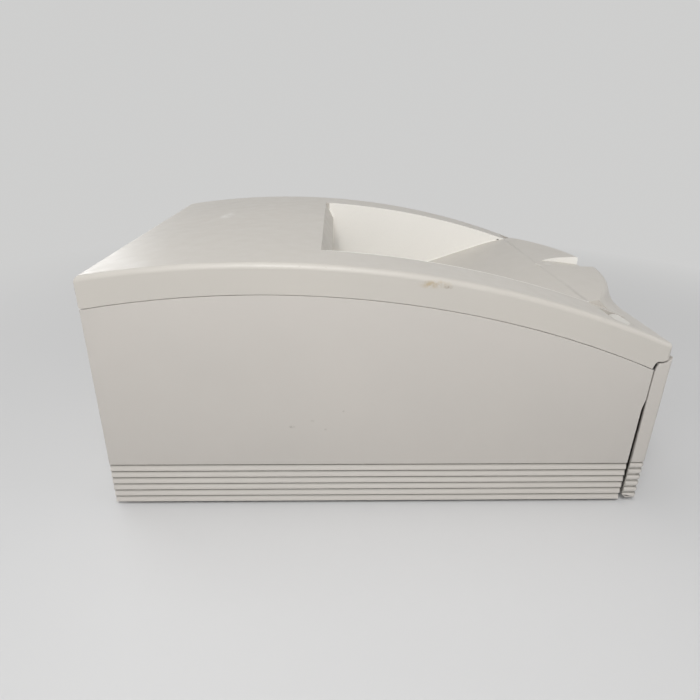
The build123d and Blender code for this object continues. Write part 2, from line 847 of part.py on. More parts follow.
for side, name in ((-1, "left_chassis_plate"), (1, "right_chassis_plate")):
    keep(chassis_plate(side), name)

with BuildPart() as tie_bars:
    with BuildSketch(Plane.YZ):
        with Locations(*tie_places):
            Circle(tie_r)
    extrude(amount=chassis_x, both=True)
keep(tie_bars.part, "tie_bars")

with BuildPart() as roller_bushes:
    for side in (-1, 1):
        with BuildSketch(Plane.YZ.offset(side * (chassis_x - bush_flange_t))):
            with Locations((platen_y, platen_z), (exit_y, exit_z), (pick_y, pick_z)):
                Circle(bush_r + bush_flange)
                Circle(shaft_r + shaft_fit, mode=Mode.SUBTRACT)
        extrude(amount=side * bush_flange_t)
        with BuildSketch(Plane.YZ.offset(side * chassis_x)):
            with Locations((platen_y, platen_z), (exit_y, exit_z), (pick_y, pick_z)):
                Circle(bush_r)
                Circle(shaft_r + shaft_fit, mode=Mode.SUBTRACT)
        extrude(amount=side * (plate_t + bush_end))
keep(roller_bushes.part, "roller_bushes")

runner_t = 2.0
runner_rise = 16.0
runner_shelf = 5.0

with BuildPart() as tray_runners:
    for side in (-1, 1):
        with BuildSketch(Plane.XZ.offset(-chassis_front_y)):
            with BuildLine():
                Polyline(
                    (side * chassis_x, tray_floor_z + runner_rise),
                    (side * (chassis_x - runner_t), tray_floor_z + runner_rise),
                    (side * (chassis_x - runner_t), tray_floor_z - part_gap),
                    (side * (tray_x - runner_shelf), tray_floor_z - part_gap),
                    (side * (tray_x - runner_shelf), tray_floor_z - part_gap - runner_t),
                    (side * chassis_x, tray_floor_z - part_gap - runner_t),
                    close=True,
                )
            make_face()
        extrude(amount=-(tray_rear_y - chassis_front_y))
keep(tray_runners.part, "tray_runners")

# Curved guides that turn the film from the tray up to the platen
feed_z = stack_top_z + 5.0
turn_r = (film_plane_z - feed_z) / 2
turn_y = platen_y + 22.0
turn_z = feed_z + turn_r


def film_guide(radius, lead_y, lead_z):
    with BuildPart() as body:
        with BuildSketch(Plane.YZ):
            with Locations((turn_y, turn_z)):
                Circle(radius + guide_t)
                Circle(radius, mode=Mode.SUBTRACT)
            with Locations((turn_y - 2 * turn_r, turn_z)):
                Rectangle(4 * turn_r, 4 * turn_r, mode=Mode.SUBTRACT)
            with BuildLine():
                Polyline(
                    (turn_y + 1, turn_z - radius),
                    (turn_y + 1, turn_z - radius - guide_t),
                    (lead_y, lead_z - guide_t),
                    (lead_y, lead_z),
                    close=True,
                )
            make_face()
        extrude(amount=chassis_x, both=True)
    return body.part


outer_lead_y = tray_rear_y + 3.0
inner_lead_y = turn_y - 30.0
inner_lead_z = feed_z + 8.0
keep(film_guide(turn_r + guide_gap, outer_lead_y, stack_top_z - guide_gap), "outer_film_guide")
keep(film_guide(turn_r - guide_gap - guide_t, inner_lead_y, inner_lead_z), "inner_film_guide")


# Spur gears with straight-sided teeth, all in one plane outside the left chassis plate
def gear(centre, teeth, phase, bore):
    pitch_r = gear_module * teeth / 2
    tip_r = pitch_r + tooth_tip * gear_module
    root_r = pitch_r - tooth_root * gear_module
    points = []
    for count in range(teeth):
        middle = phase + 2 * math.pi * count / teeth
        for radius, share in (
            (root_r, -root_share),
            (tip_r, -tip_share),
            (tip_r, tip_share),
            (root_r, root_share),
        ):
            turn = middle + share * 2 * math.pi / teeth
            points.append((radius * math.cos(turn), radius * math.sin(turn)))
    plane = Plane(origin=(-gear_x, centre[0], centre[1]), x_dir=(0, 1, 0), z_dir=(1, 0, 0))
    with BuildPart() as body:
        with BuildSketch(plane):
            with BuildLine():
                Polyline(*points, close=True)
            make_face()
            Circle(bore, mode=Mode.SUBTRACT)
        extrude(amount=-gear_face)
    return body.part


def mesh_phase(phase, teeth, turn, mate_teeth):
    return turn + math.pi - math.pi / mate_teeth - teeth / mate_teeth * (phase - turn)


idler_turn = math.atan2(idler_z - platen_z, idler_y - platen_y)
exit_turn = math.atan2(exit_z - idler_z, exit_y - idler_y)
pinion_phase = mesh_phase(0.0, platen_teeth, motor_turn, pinion_teeth)
idler_phase = mesh_phase(0.0, platen_teeth, idler_turn, idler_teeth)
exit_phase = mesh_phase(idler_phase, idler_teeth, exit_turn, exit_teeth)

keep(gear((platen_y, platen_z), platen_teeth, 0.0, shaft_r), "platen_gear")
keep(gear((idler_y, idler_z), idler_teeth, idler_phase, idler_axle_r + shaft_fit), "idler_gear")
keep(gear((exit_y, exit_z), exit_teeth, exit_phase, shaft_r), "exit_gear")
keep(gear((motor_y, motor_z), pinion_teeth, pinion_phase, motor_shaft_r), "motor_pinion")

axle_head = 1.5
axle_head_t = 1.7
axle_shoulder = 3.0

with BuildPart() as idler_axle:
    with BuildSketch(Plane.YZ.offset(-chassis_x - plate_t)):
        with Locations((idler_y, idler_z)):
            Circle(idler_axle_r)
    extrude(amount=-(gear_x + gear_face + axle_head_t - chassis_x - plate_t))
    with BuildSketch(Plane.YZ.offset(-gear_x - gear_face - part_gap)):
        with Locations((idler_y, idler_z)):
            Circle(idler_axle_r + axle_head)
    extrude(amount=-axle_head_t)
    with BuildSketch(Plane.YZ.offset(-chassis_x - plate_t)):
        with Locations((idler_y, idler_z)):
            Circle(idler_axle_r + axle_shoulder)
    extrude(amount=-(gear_x - chassis_x - plate_t - part_gap))
keep(idler_axle.part, "idler_axle")

# Platen, exit and pick rollers
sleeve_x = film_width / 2 + 7.0
shaft_end_x = gear_x + gear_face + 1.5
shaft_length = shaft_end_x + chassis_x + plate_t + 4.0
rubber_gap = 0.2

with BuildPart() as platen_shaft:
    with BuildSketch(Plane.YZ.offset(-shaft_end_x)):
        with Locations((platen_y, platen_z)):
            Circle(shaft_r)
    extrude(amount=shaft_length)
keep(platen_shaft.part, "platen_shaft")

with BuildPart() as platen_sleeve:
    with BuildSketch(Plane.YZ):
        with Locations((platen_y, platen_z)):
            Circle(platen_r - rubber_gap)
            Circle(shaft_r, mode=Mode.SUBTRACT)
    extrude(amount=sleeve_x, both=True)
keep(platen_sleeve.part, "platen_sleeve")

tyre_places = (-105.0, -35.0, 35.0, 105.0)
tyre_w = 16.0

with BuildPart() as exit_roller:
    with BuildSketch(Plane.YZ.offset(-shaft_end_x)):
        with Locations((exit_y, exit_z)):
            Circle(shaft_r)
    extrude(amount=shaft_length)
    for x in tyre_places:
        with BuildSketch(Plane.YZ.offset(x)):
            with Locations((exit_y, exit_z)):
                Circle(exit_r - rubber_gap)
        extrude(amount=tyre_w / 2, both=True)
keep(exit_roller.part, "exit_roller")

pinch_r = 8.0
pinch_axle_r = 2.0
pinch_w = 12.0
pinch_z = film_plane_z + part_gap + pinch_r
pinch_bracket_x = 130.0
pinch_bracket_t = 3.0
pinch_bracket_half = 7.0
pinch_bracket_drop = 5.0
pinch_axle_end = 6.0

with BuildPart() as pinch_wheels:
    with BuildSketch(Plane.YZ):
        with Locations((exit_y, pinch_z)):
            Circle(pinch_axle_r)
    extrude(amount=pinch_bracket_x + pinch_axle_end, both=True)
    for x in tyre_places:
        with BuildSketch(Plane.YZ.offset(x)):
            with Locations((exit_y, pinch_z)):
                Circle(pinch_r)
        extrude(amount=pinch_w / 2, both=True)
keep(pinch_wheels.part, "pinch_wheels")

with BuildPart() as pinch_brackets:
    for side in (-1, 1):
        with BuildSketch(Plane.YZ.offset(side * pinch_bracket_x)):
            with BuildLine():
                rear_y = exit_y + pinch_bracket_half
                near_y = exit_y - pinch_bracket_half
                low_z = pinch_z - pinch_bracket_drop
                arc = crown_arc(near_y, rear_y, wall)
                Polyline(arc @ 0, (near_y, low_z), (rear_y, low_z), arc @ 1)
            make_face()
            with Locations((exit_y, pinch_z)):
                Circle(pinch_axle_r + shaft_fit, mode=Mode.SUBTRACT)
        extrude(amount=pinch_bracket_t / 2, both=True)
keep(pinch_brackets.part, "pinch_brackets")

pick_tyre_x = 45.0
pick_tyre_w = 28.0
pick_shaft_ends = (3.0, 7.0)

with BuildPart() as pick_roller:
    with BuildSketch(Plane.YZ.offset(-chassis_x - plate_t - pick_shaft_ends[0])):
        with Locations((pick_y, pick_z)):
            Circle(shaft_r)
    extrude(amount=2 * (chassis_x + plate_t) + sum(pick_shaft_ends))
    for side in (-1, 1):
        with BuildSketch(Plane.YZ.offset(side * pick_tyre_x)):
            with Locations((pick_y, pick_z)):
                Circle(pick_r)
        extrude(amount=pick_tyre_w / 2, both=True)
keep(pick_roller.part, "pick_roller")

# Motors
motor_size = 36.0
motor_length = 24.0
motor_corner_r = 5.0
pick_motor_size = 34.0
pick_motor_t = 22.0
pick_motor_peg_r = 2.0

with BuildPart() as drive_motor:
    with BuildSketch(Plane.YZ.offset(-chassis_x)):
        with Locations((motor_y, motor_z)):
            RectangleRounded(motor_size, motor_size, motor_corner_r)
    extrude(amount=motor_length)
    with BuildSketch(Plane.YZ.offset(-chassis_x)):
        with Locations((motor_y, motor_z)):
            Circle(motor_shaft_r)
    extrude(amount=-(plate_t + 0.6))
keep(drive_motor.part, "drive_motor")

with BuildPart() as pick_motor:
    with BuildSketch(Plane.YZ.offset(chassis_x + plate_t + 1.0 + part_gap)):
        with Locations((pick_y, pick_z)):
            RectangleRounded(pick_motor_size, pick_motor_size, motor_corner_r)
    extrude(amount=pick_motor_t)
    with BuildSketch(Plane.YZ.offset(chassis_x + plate_t)):
        with Locations((pick_y, pick_z)):
            with GridLocations(pick_motor_size - 8, pick_motor_size - 8, 2, 2):
                Circle(pick_motor_peg_r)
    extrude(amount=plate_t)
    with BuildSketch(Plane.YZ.offset(chassis_x)):
        with Locations((pick_y, pick_z)):
            Circle(shaft_r + shaft_fit)
    extrude(amount=plate_t + pick_shaft_ends[1] + 2, mode=Mode.SUBTRACT)
keep(pick_motor.part, "pick_motor")

# Thermal head over the platen, carried by the lid
head_x = film_width / 2 + 10.0
head_depth = 30.0
head_z = film_plane_z + 0.2
head_t = 6.0
sink_base_t = 4.0
sink_top_z = head_z + head_t + 34.0
fin_count = 7
fin_t = 1.6
bracket_t = 2.5
bracket_x = 110.0
bracket_depth = 46.0

with BuildPart() as thermal_head:
    with BuildSketch(Plane.XY.offset(head_z)):
        with Locations((0, platen_y)):
            Rectangle(2 * head_x, head_depth)
    extrude(amount=head_t)
keep(thermal_head.part, "thermal_head")

with BuildPart() as head_heatsink:
    with BuildSketch(Plane.XY.offset(head_z + head_t)):
        with Locations((0, platen_y)):
            Rectangle(2 * head_x, head_depth)
    extrude(amount=sink_base_t)
    with BuildSketch(Plane.XY.offset(head_z + head_t)):
        with Locations((0, platen_y)):
            with GridLocations(0, (head_depth - fin_t) / (fin_count - 1), 1, fin_count):
                Rectangle(2 * head_x, fin_t)
    extrude(amount=sink_top_z - head_z - head_t)
keep(head_heatsink.part, "head_heatsink")

with BuildPart() as head_bracket:
    with BuildSketch(Plane.XY.offset(sink_top_z)):
        with Locations((0, platen_y)):
            Rectangle(2 * head_x, bracket_depth)
    extrude(amount=bracket_t)
    for side in (-1, 1):
        with BuildSketch(Plane.YZ.offset(side * bracket_x)):
            with BuildLine():
                arc = crown_arc(platen_y - bracket_depth / 2, platen_y + bracket_depth / 2, wall)
                Polyline(
                    arc @ 0,
                    (platen_y - bracket_depth / 2, sink_top_z),
                    (platen_y + bracket_depth / 2, sink_top_z),
                    arc @ 1,
                )
            make_face()
        extrude(amount=bracket_t / 2, both=True)
keep(head_bracket.part, "head_bracket")

# Lid hinges: outer knuckles on the rear panel, middle knuckle on the lid
leaf_t = 1.2
leaf_height = 20.0
knuckle_w = 11.0
knuckle_gap = 0.4


def hinge_leaves(spans, low_z, high_z, bore):
    with BuildPart() as body:
        for side in (-1, 1):
            for x1, x2 in spans:
                with BuildSketch(Plane.YZ.offset(side * hinge_x + x1)):
                    with Locations((y_rear - wall - leaf_t / 2, (low_z + high_z) / 2)):
                        Rectangle(leaf_t, high_z - low_z)
                    with Locations((hinge_y, hinge_z)):
                        Circle(hinge_r)
                        Circle(bore, mode=Mode.SUBTRACT)
                extrude(amount=x2 - x1)
            # plate that ties the knuckles of one hinge together
            with BuildSketch(Plane.YZ.offset(side * hinge_x + spans[0][0])):
                far_z = low_z if high_z == hinge_z else high_z
                with Locations((y_rear - wall - leaf_t / 2, (far_z + (low_z + high_z) / 2) / 2)):
                    Rectangle(leaf_t, (high_z - low_z) / 2)
            extrude(amount=spans[-1][1] - spans[0][0])
    return body.part


half_span = hinge_span / 2
inner_span = half_span - knuckle_w
keep(
    hinge_leaves(
        ((-half_span, -inner_span), (inner_span, half_span)),
        hinge_z - leaf_height,
        hinge_z,
        lid_pin_r,
    ),
    "base_hinge_leaves",
)
keep(
    hinge_leaves(
        ((-inner_span + knuckle_gap, inner_span - knuckle_gap),),
        hinge_z,
        hinge_z + leaf_height,
        lid_pin_r + shaft_fit,
    ),
    "lid_hinge_leaves",
)

with BuildPart() as lid_hinge_pins:
    for side in (-1, 1):
        with BuildSketch(Plane.YZ.offset(side * hinge_x - half_span)):
            with Locations((hinge_y, hinge_z)):
                Circle(lid_pin_r)
        extrude(amount=hinge_span)
keep(lid_hinge_pins.part, "lid_hinge_pins")

# Buttons in the pockets of the rails
button_top_z = pocket_z + 4.0
button_edge_r = 1.2
key_stem = 4.0
flange_z = pocket_z - wall - part_gap
flange_t = 3.0
flange_lip = 1.5
lamp_flange_t = 1.5
stem_w = 6.0
stem_t = 3.0
stem_back = 2.5
stem_low_z = latch_z + 3.3


def push_button(side, low_z):
    with BuildPart() as body:
        with BuildSketch(Plane.XY.offset(flange_z - flange_t)):
            with Locations((side * rail_mid_x, button_y)):
                SlotOverall(button_length, button_width)
        extrude(amount=button_top_z - flange_z + flange_t)
        fillet(body.faces().sort_by(Axis.Z)[-1].edges(), button_edge_r)
        with BuildSketch(Plane.XY.offset(flange_z - flange_t)):
            with Locations((side * rail_mid_x, button_y)):
                SlotOverall(button_length + 2 * flange_lip, button_width + 2 * flange_lip)
        extrude(amount=flange_t)
        with BuildSketch(Plane.XY.offset(low_z)):
            with Locations((side * rail_mid_x, button_y + stem_back)):
                Rectangle(stem_w, stem_t)
        extrude(amount=flange_z - low_z)
    return body.part


keep(push_button(-1, stem_low_z), "release_button")
keep(push_button(1, flange_z - flange_t - key_stem), "online_key")

lamp_flange_z = pocket_z - wall - part_gap - lamp_flange_t
lamp_top_z = pocket_z + 0.5

with BuildPart() as status_lamp:
    with BuildSketch(Plane.XY.offset(lamp_flange_z)):
        with Locations((rail_mid_x, lamp_y)):
            Circle(lamp_r)
    extrude(amount=lamp_top_z - lamp_flange_z)
    with BuildSketch(Plane.XY.offset(lamp_flange_z)):
        with Locations((rail_mid_x, lamp_y)):
            Circle(lamp_r + flange_lip)
    extrude(amount=lamp_flange_t)
keep(status_lamp.part, "status_lamp")

# Latch: a cross shaft with a hook at each side and a lever under the release button
hook_x = 170.0
hook_t = 6.0
hook_low_z = 153.0
hook_nose_y = latch_y + 7.0
hook_nose_t = 3.0
hook_arm = 4.0
hook_point = 2.0
lever_w = 12.0
lever_t = 3.0
lever_reach = 16.0
hub_r = latch_shaft_r + 2.0
shaft_stub = 1.0
striker_y = latch_y + 9.0
striker_z = 158.0
striker_r = 1.5
striker_side = 2.0
striker_plate_t = 2.0
striker_half_w = 3.0
striker_half_h = 4.0
striker_root_z = (146.0, 157.0)
striker_flange_w = 14.0

with BuildPart() as latch_shaft:
    with BuildSketch(Plane.YZ.offset(-rail_mid_x - lever_w / 2 - shaft_stub)):
        with Locations((latch_y, latch_z)):
            Circle(latch_shaft_r)
    extrude(amount=rail_mid_x + lever_w / 2 + hook_x + hook_t / 2 + 2 * shaft_stub)
keep(latch_shaft.part, "latch_shaft")

with BuildPart() as latch_hooks:
    for side in (-1, 1):
        with BuildSketch(Plane.YZ.offset(side * hook_x)):
            with Locations((latch_y, latch_z)):
                Circle(hub_r)
            with BuildLine():
                Polyline(
                    (latch_y - hook_arm / 2, latch_z),
                    (latch_y - hook_arm / 2, hook_low_z),
                    (hook_nose_y - hook_point, hook_low_z),
                    (hook_nose_y, hook_low_z + hook_nose_t / 2),
                    (hook_nose_y, hook_low_z + hook_nose_t),
                    (latch_y + hook_arm / 2, hook_low_z + hook_nose_t),
                    (latch_y + hook_arm / 2, latch_z),
                    close=True,
                )
            make_face()
            with Locations((latch_y, latch_z)):
                Circle(latch_shaft_r, mode=Mode.SUBTRACT)
        extrude(amount=hook_t / 2, both=True)
    with BuildSketch(Plane.YZ.offset(-rail_mid_x)):
        with Locations((latch_y, latch_z)):
            Circle(hub_r)
        with Locations((latch_y + lever_reach / 2, latch_z + lever_t / 2)):
            Rectangle(lever_reach, lever_t)
        with Locations((latch_y, latch_z)):
            Circle(latch_shaft_r, mode=Mode.SUBTRACT)
    extrude(amount=lever_w / 2, both=True)
keep(latch_hooks.part, "latch_hooks")

with BuildPart() as latch_strikers:
    for side in (-1, 1):
        with BuildSketch(Plane.YZ.offset(side * (hook_x + hook_t / 2 + striker_side))):
            with BuildLine():
                Polyline(
                    (frame_y + frame_t, striker_root_z[0]),
                    (frame_y + frame_t, striker_root_z[1]),
                    (striker_y - striker_half_w, striker_z + striker_half_h),
                    (striker_y + striker_half_w, striker_z + striker_half_h),
                    (striker_y + striker_half_w, striker_z - striker_half_h),
                    close=True,
                )
            make_face()
        extrude(amount=side * striker_plate_t)
        with BuildSketch(Plane.YZ.offset(side * (hook_x - hook_t / 2 - striker_side))):
            with Locations((striker_y, striker_z)):
                Circle(striker_r)
        extrude(amount=side * (hook_t + 2 * striker_side + striker_plate_t / 2))
        flange_x = hook_x + hook_t / 2 + striker_side + striker_flange_w / 2
        with BuildSketch(Plane.XZ.offset(-frame_y - frame_t)):
            with Locations((side * flange_x, sum(striker_root_z) / 2)):
                Rectangle(striker_flange_w, striker_root_z[1] - striker_root_z[0])
        extrude(amount=-striker_plate_t)
keep(latch_strikers.part, "latch_strikers")

# Power supply and control board at the rear
supply_x = 112.0
supply_w = 100.0
supply_y = 228.0
supply_depth = 26.0
supply_top_z = 100.0
board_x = 20.0
board_w = 120.0
board_low_z = 25.0
board_h = 110.0
board_t = 1.6
board_y = y_rear - 18.0
board_post_r = 2.5
board_edge = 5.0
chip_t = 3.0
chip_size = 32.0
chip_place = (-25.0, 70.0)
store_size = (24.0, 12.0)
store_place = (20.0, 84.0)
store_pitch = 18.0
plug_size = (50.0, 8.0)
plug_place = (-20.0, 14.0)
supply_vents = (10, 3)
supply_vent_pitch = (8.0, 14.0)
supply_vent_size = (10.0, 4.0)
supply_vent_drop = 30.0
supply_vent_depth = 1.5

with BuildPart() as power_supply:
    with BuildSketch(Plane.XY.offset(deck_z)):
        with Locations((supply_x, supply_y + supply_depth / 2)):
            Rectangle(supply_w, supply_depth)
    extrude(amount=supply_top_z - deck_z)
    with BuildSketch(Plane.XZ.offset(-supply_y)):
        with Locations((supply_x, supply_top_z - supply_vent_drop)):
            with GridLocations(*supply_vent_pitch, *supply_vents):
                SlotOverall(*supply_vent_size, rotation=90)
    extrude(amount=-supply_vent_depth, mode=Mode.SUBTRACT)
keep(power_supply.part, "power_supply")

with BuildPart() as control_board:
    with BuildSketch(Plane.XZ.offset(-board_y)):
        with Locations((board_x, board_low_z + board_h / 2)):
            Rectangle(board_w, board_h)
    extrude(amount=-board_t)
    with BuildSketch(Plane.XZ.offset(-board_y)):
        with Locations((board_x + chip_place[0], board_low_z + chip_place[1])):
            Rectangle(chip_size, chip_size)
        with Locations((board_x + store_place[0], board_low_z + store_place[1])):
            with GridLocations(0, store_pitch, 1, 2):
                Rectangle(*store_size)
        with Locations((board_x + plug_place[0], board_low_z + plug_place[1])):
            Rectangle(*plug_size)
    extrude(amount=chip_t)
    with BuildSketch(Plane.XZ.offset(-board_y - board_t)):
        with Locations((board_x, board_low_z + board_h / 2)):
            with GridLocations(board_w - 2 * board_edge, board_h - 2 * board_edge, 2, 2):
                Circle(board_post_r)
    extrude(amount=-(y_rear - wall - board_y - board_t))
keep(control_board.part, "control_board")

socket_wall = 1.2
socket_fit = 0.2
jack_depth = 12.0
jack_outer_w = jack_w - 2 * socket_fit
jack_outer_h = jack_h - 2 * socket_fit
inlet_body = 22.0
inlet_depth = 16.0
inlet_wall = 1.5
blade_size = (2.0, 4.0)
blade_length = 11.0
blade_side = 7.0
blade_drop = 2.0

with BuildPart() as network_socket:
    with BuildSketch(Plane.XZ.offset(-board_y - board_t)):
        with Locations((jack_x, jack_z)):
            Rectangle(jack_outer_w, jack_outer_h)
    extrude(amount=-(y_rear - board_y - board_t))
    with BuildSketch(Plane.XZ.offset(-y_rear)):
        with Locations((jack_x, jack_z)):
            Rectangle(jack_outer_w - 2 * socket_wall, jack_outer_h - 2 * socket_wall)
    extrude(amount=jack_depth, mode=Mode.SUBTRACT)
keep(network_socket.part, "network_socket")

with BuildPart() as power_inlet:
    with BuildSketch(Plane.XZ.offset(-y_rear)):
        with Locations((inlet_x, inlet_z)):
            Rectangle(inlet_w - 2 * socket_fit, inlet_h - 2 * socket_fit)
    extrude(amount=inlet_body)
    with BuildSketch(Plane.XZ.offset(-y_rear)):
        with Locations((inlet_x, inlet_z)):
            Rectangle(inlet_w - 2 * inlet_wall, inlet_h - 2 * inlet_wall)
    extrude(amount=inlet_depth, mode=Mode.SUBTRACT)
    with BuildSketch(Plane.XZ.offset(-y_rear + inlet_depth)):
        with Locations(
            (inlet_x - blade_side, inlet_z - blade_drop),
            (inlet_x + blade_side, inlet_z - blade_drop),
            (inlet_x, inlet_z + blade_drop),
        ):
            Rectangle(*blade_size)
    extrude(amount=-blade_length)
keep(power_inlet.part, "power_inlet")

# Rocker switch: a housing with a rocker on a pin
rocker_y = y_rear - 7.5
rocker_w = 18.0
rocker_turn = 0.3
rocker_pin_r = 1.0
rocker_gap = 0.4
rocker_points = ((-3.0, -2.5), (6.3, -5.0), (5.2, 0.0), (6.3, 5.0), (-3.0, 2.5))
rocker_pin_seat = 0.6
switch_depth = 14.0
switch_body = 18.0
switch_wall = 0.5

with BuildPart() as switch_housing:
    with BuildSketch(Plane.XZ.offset(-y_rear)):
        with Locations((inlet_x, switch_z)):
            Rectangle(switch_w - 2 * socket_fit, switch_h - 2 * socket_fit)
    extrude(amount=switch_body)
    with BuildSketch(Plane.XZ.offset(-y_rear)):
        with Locations((inlet_x, switch_z)):
            Rectangle(rocker_w + 2 * rocker_gap, switch_h - 2 * switch_wall)
    extrude(amount=switch_depth, mode=Mode.SUBTRACT)
    with BuildSketch(Plane.YZ.offset(inlet_x - rocker_w / 2 - rocker_pin_seat)):
        with Locations((rocker_y, switch_z)):
            Circle(rocker_pin_r)
    extrude(amount=rocker_w + 2 * rocker_pin_seat)
keep(switch_housing.part, "switch_housing")

with BuildPart() as power_rocker:
    lean = rocker_turn / 2
    with BuildSketch(Plane.YZ.offset(inlet_x)):
        with BuildLine():
            Polyline(
                *[
                    (
                        rocker_y + y * math.cos(lean) - z * math.sin(lean),
                        switch_z + y * math.sin(lean) + z * math.cos(lean),
                    )
                    for y, z in rocker_points
                ],
                close=True,
            )
        make_face()
        with Locations((rocker_y, switch_z)):
            Circle(rocker_pin_r + shaft_fit, mode=Mode.SUBTRACT)
    extrude(amount=rocker_w / 2, both=True)
keep(power_rocker.part, "power_rocker")

# Cooling fan behind the grille
fan_front_y = y_rear - wall - fan_depth
fan_bore_r = fan_size / 2 - 3.0
fan_hub_r = 11.0
fan_shaft_r = 1.5
blade_count = 7
blade_tip_r = fan_bore_r - 1.2
blade_lean = 35.0
blade_chord = 12.0
blade_t = 1.6
blade_root = 2.0
strut_t = 2.5
strut_w = 4.0
strut_turns = (30.0, 150.0, 270.0)
fan_corner_r = 4.0
fan_hole_r = 2.0
fan_hole_edge = 4.5
fan_axle_length = 11.0
rotor_t = 13.0
rotor_gap = 0.4
blade_y = fan_front_y + strut_t + 7.0

with BuildPart() as fan_frame:
    with BuildSketch(Plane.XZ.offset(-fan_front_y)):
        with Locations((fan_x, fan_z)):
            RectangleRounded(fan_size, fan_size, fan_corner_r)
            Circle(fan_bore_r, mode=Mode.SUBTRACT)
            with GridLocations(fan_size - 2 * fan_hole_edge, fan_size - 2 * fan_hole_edge, 2, 2):
                Circle(fan_hole_r, mode=Mode.SUBTRACT)
    extrude(amount=-fan_depth)
    with BuildSketch(Plane.XZ.offset(-fan_front_y)):
        with Locations((fan_x, fan_z)):
            Circle(fan_hub_r)
            for turn in strut_turns:
                Rectangle(fan_bore_r + 1, strut_w, rotation=turn, align=(Align.MIN, Align.CENTER))
    extrude(amount=-strut_t)
    with BuildSketch(Plane.XZ.offset(-fan_front_y)):
        with Locations((fan_x, fan_z)):
            Circle(fan_shaft_r)
    extrude(amount=-(strut_t + fan_axle_length))
keep(fan_frame.part, "fan_frame")

with BuildPart() as fan_rotor:
    with BuildSketch(Plane.XZ.offset(-fan_front_y - strut_t - rotor_gap)):
        with Locations((fan_x, fan_z)):
            Circle(fan_hub_r)
    extrude(amount=-rotor_t)
    for count in range(blade_count):
        turn = 2 * math.pi * count / blade_count
        out = (math.cos(turn), 0, math.sin(turn))
        root_r = fan_hub_r - blade_root
        plane = Plane(
            origin=(fan_x + root_r * out[0], blade_y, fan_z + root_r * out[2]),
            x_dir=(0, 1, 0),
            z_dir=out,
        )
        with BuildSketch(plane):
            Rectangle(blade_chord, blade_t, rotation=blade_lean)
        extrude(amount=blade_tip_r - root_r)
    with BuildSketch(Plane.XZ.offset(-fan_front_y)):
        with Locations((fan_x, fan_z)):
            Circle(fan_shaft_r + shaft_fit)
    extrude(amount=-(strut_t + fan_axle_length + rotor_gap), mode=Mode.SUBTRACT)
keep(fan_rotor.part, "fan_rotor")
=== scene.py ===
import json
import math
import bpy
import bmesh
from mathutils import Matrix, Vector
from mathutils.kdtree import KDTree


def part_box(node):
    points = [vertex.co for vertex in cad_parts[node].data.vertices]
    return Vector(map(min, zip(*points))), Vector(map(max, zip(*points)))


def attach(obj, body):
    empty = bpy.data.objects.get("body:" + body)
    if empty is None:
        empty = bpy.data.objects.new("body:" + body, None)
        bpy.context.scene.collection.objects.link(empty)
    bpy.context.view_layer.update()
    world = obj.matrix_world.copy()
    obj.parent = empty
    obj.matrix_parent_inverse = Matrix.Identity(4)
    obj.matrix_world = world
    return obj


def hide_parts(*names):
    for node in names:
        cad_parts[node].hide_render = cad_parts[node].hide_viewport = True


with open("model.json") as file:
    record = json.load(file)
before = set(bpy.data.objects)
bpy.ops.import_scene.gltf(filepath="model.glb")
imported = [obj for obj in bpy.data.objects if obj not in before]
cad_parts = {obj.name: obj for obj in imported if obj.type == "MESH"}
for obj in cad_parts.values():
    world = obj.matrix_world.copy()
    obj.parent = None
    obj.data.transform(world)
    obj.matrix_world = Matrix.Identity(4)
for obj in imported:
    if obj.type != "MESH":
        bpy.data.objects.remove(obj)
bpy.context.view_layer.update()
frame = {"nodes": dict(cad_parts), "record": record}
print("frame loaded:", len(frame["nodes"]), "nodes")


def newMaterial(name):
    material = bpy.data.materials.new(name)
    material.use_nodes = True
    tree = material.node_tree
    shader = tree.nodes["Principled BSDF"]
    where = tree.nodes.new("ShaderNodeTexCoord").outputs["Object"]
    return material, tree, shader, where


def noiseAt(tree, where, scale, detail=3.0, rough=0.5, stretch=(1, 1, 1)):
    mapping = tree.nodes.new("ShaderNodeMapping")
    mapping.inputs["Scale"].default_value = [scale * s for s in stretch]
    tree.links.new(where, mapping.inputs["Vector"])
    noise = tree.nodes.new("ShaderNodeTexNoise")
    noise.inputs["Scale"].default_value = 1.0
    noise.inputs["Detail"].default_value = detail
    noise.inputs["Roughness"].default_value = rough
    tree.links.new(mapping.outputs["Vector"], noise.inputs["Vector"])
    return noise.outputs["Fac"]


def spread(tree, value, low, high, start=0.0, stop=1.0):
    node = tree.nodes.new("ShaderNodeMapRange")
    node.inputs["From Min"].default_value = start
    node.inputs["From Max"].default_value = stop
    node.inputs["To Min"].default_value = low
    node.inputs["To Max"].default_value = high
    tree.links.new(value, node.inputs["Value"])
    return node.outputs["Result"]


def blendColor(tree, factor, first, second):
    node = tree.nodes.new("ShaderNodeMix")
    node.data_type = "RGBA"
    tree.links.new(factor, node.inputs["Factor"])
    # this node has sockets of every type, and 6, 7 and 2 are those for colour
    for socket, value in ((node.inputs[6], first), (node.inputs[7], second)):
        if isinstance(value, bpy.types.NodeSocket):
            tree.links.new(value, socket)
        else:
            socket.default_value = (*value, 1)
    return node.outputs[2]


def combine(tree, operation, first, second):
    node = tree.nodes.new("ShaderNodeMath")
    node.operation = operation
    for socket, value in zip(node.inputs, (first, second)):
        if isinstance(value, bpy.types.NodeSocket):
            tree.links.new(value, socket)
        else:
            socket.default_value = value
    return node.outputs[0]


def bumpFrom(tree, shader, height, strength, distance):
    node = tree.nodes.new("ShaderNodeBump")
    node.inputs["Strength"].default_value = strength
    node.inputs["Distance"].default_value = distance
    tree.links.new(height, node.inputs["Height"])
    tree.links.new(node.outputs["Normal"], shader.inputs["Normal"])


def vectorLength(tree, vector):
    node = tree.nodes.new("ShaderNodeVectorMath")
    node.operation = "LENGTH"
    tree.links.new(vector, node.inputs[0])
    return node.outputs["Value"]


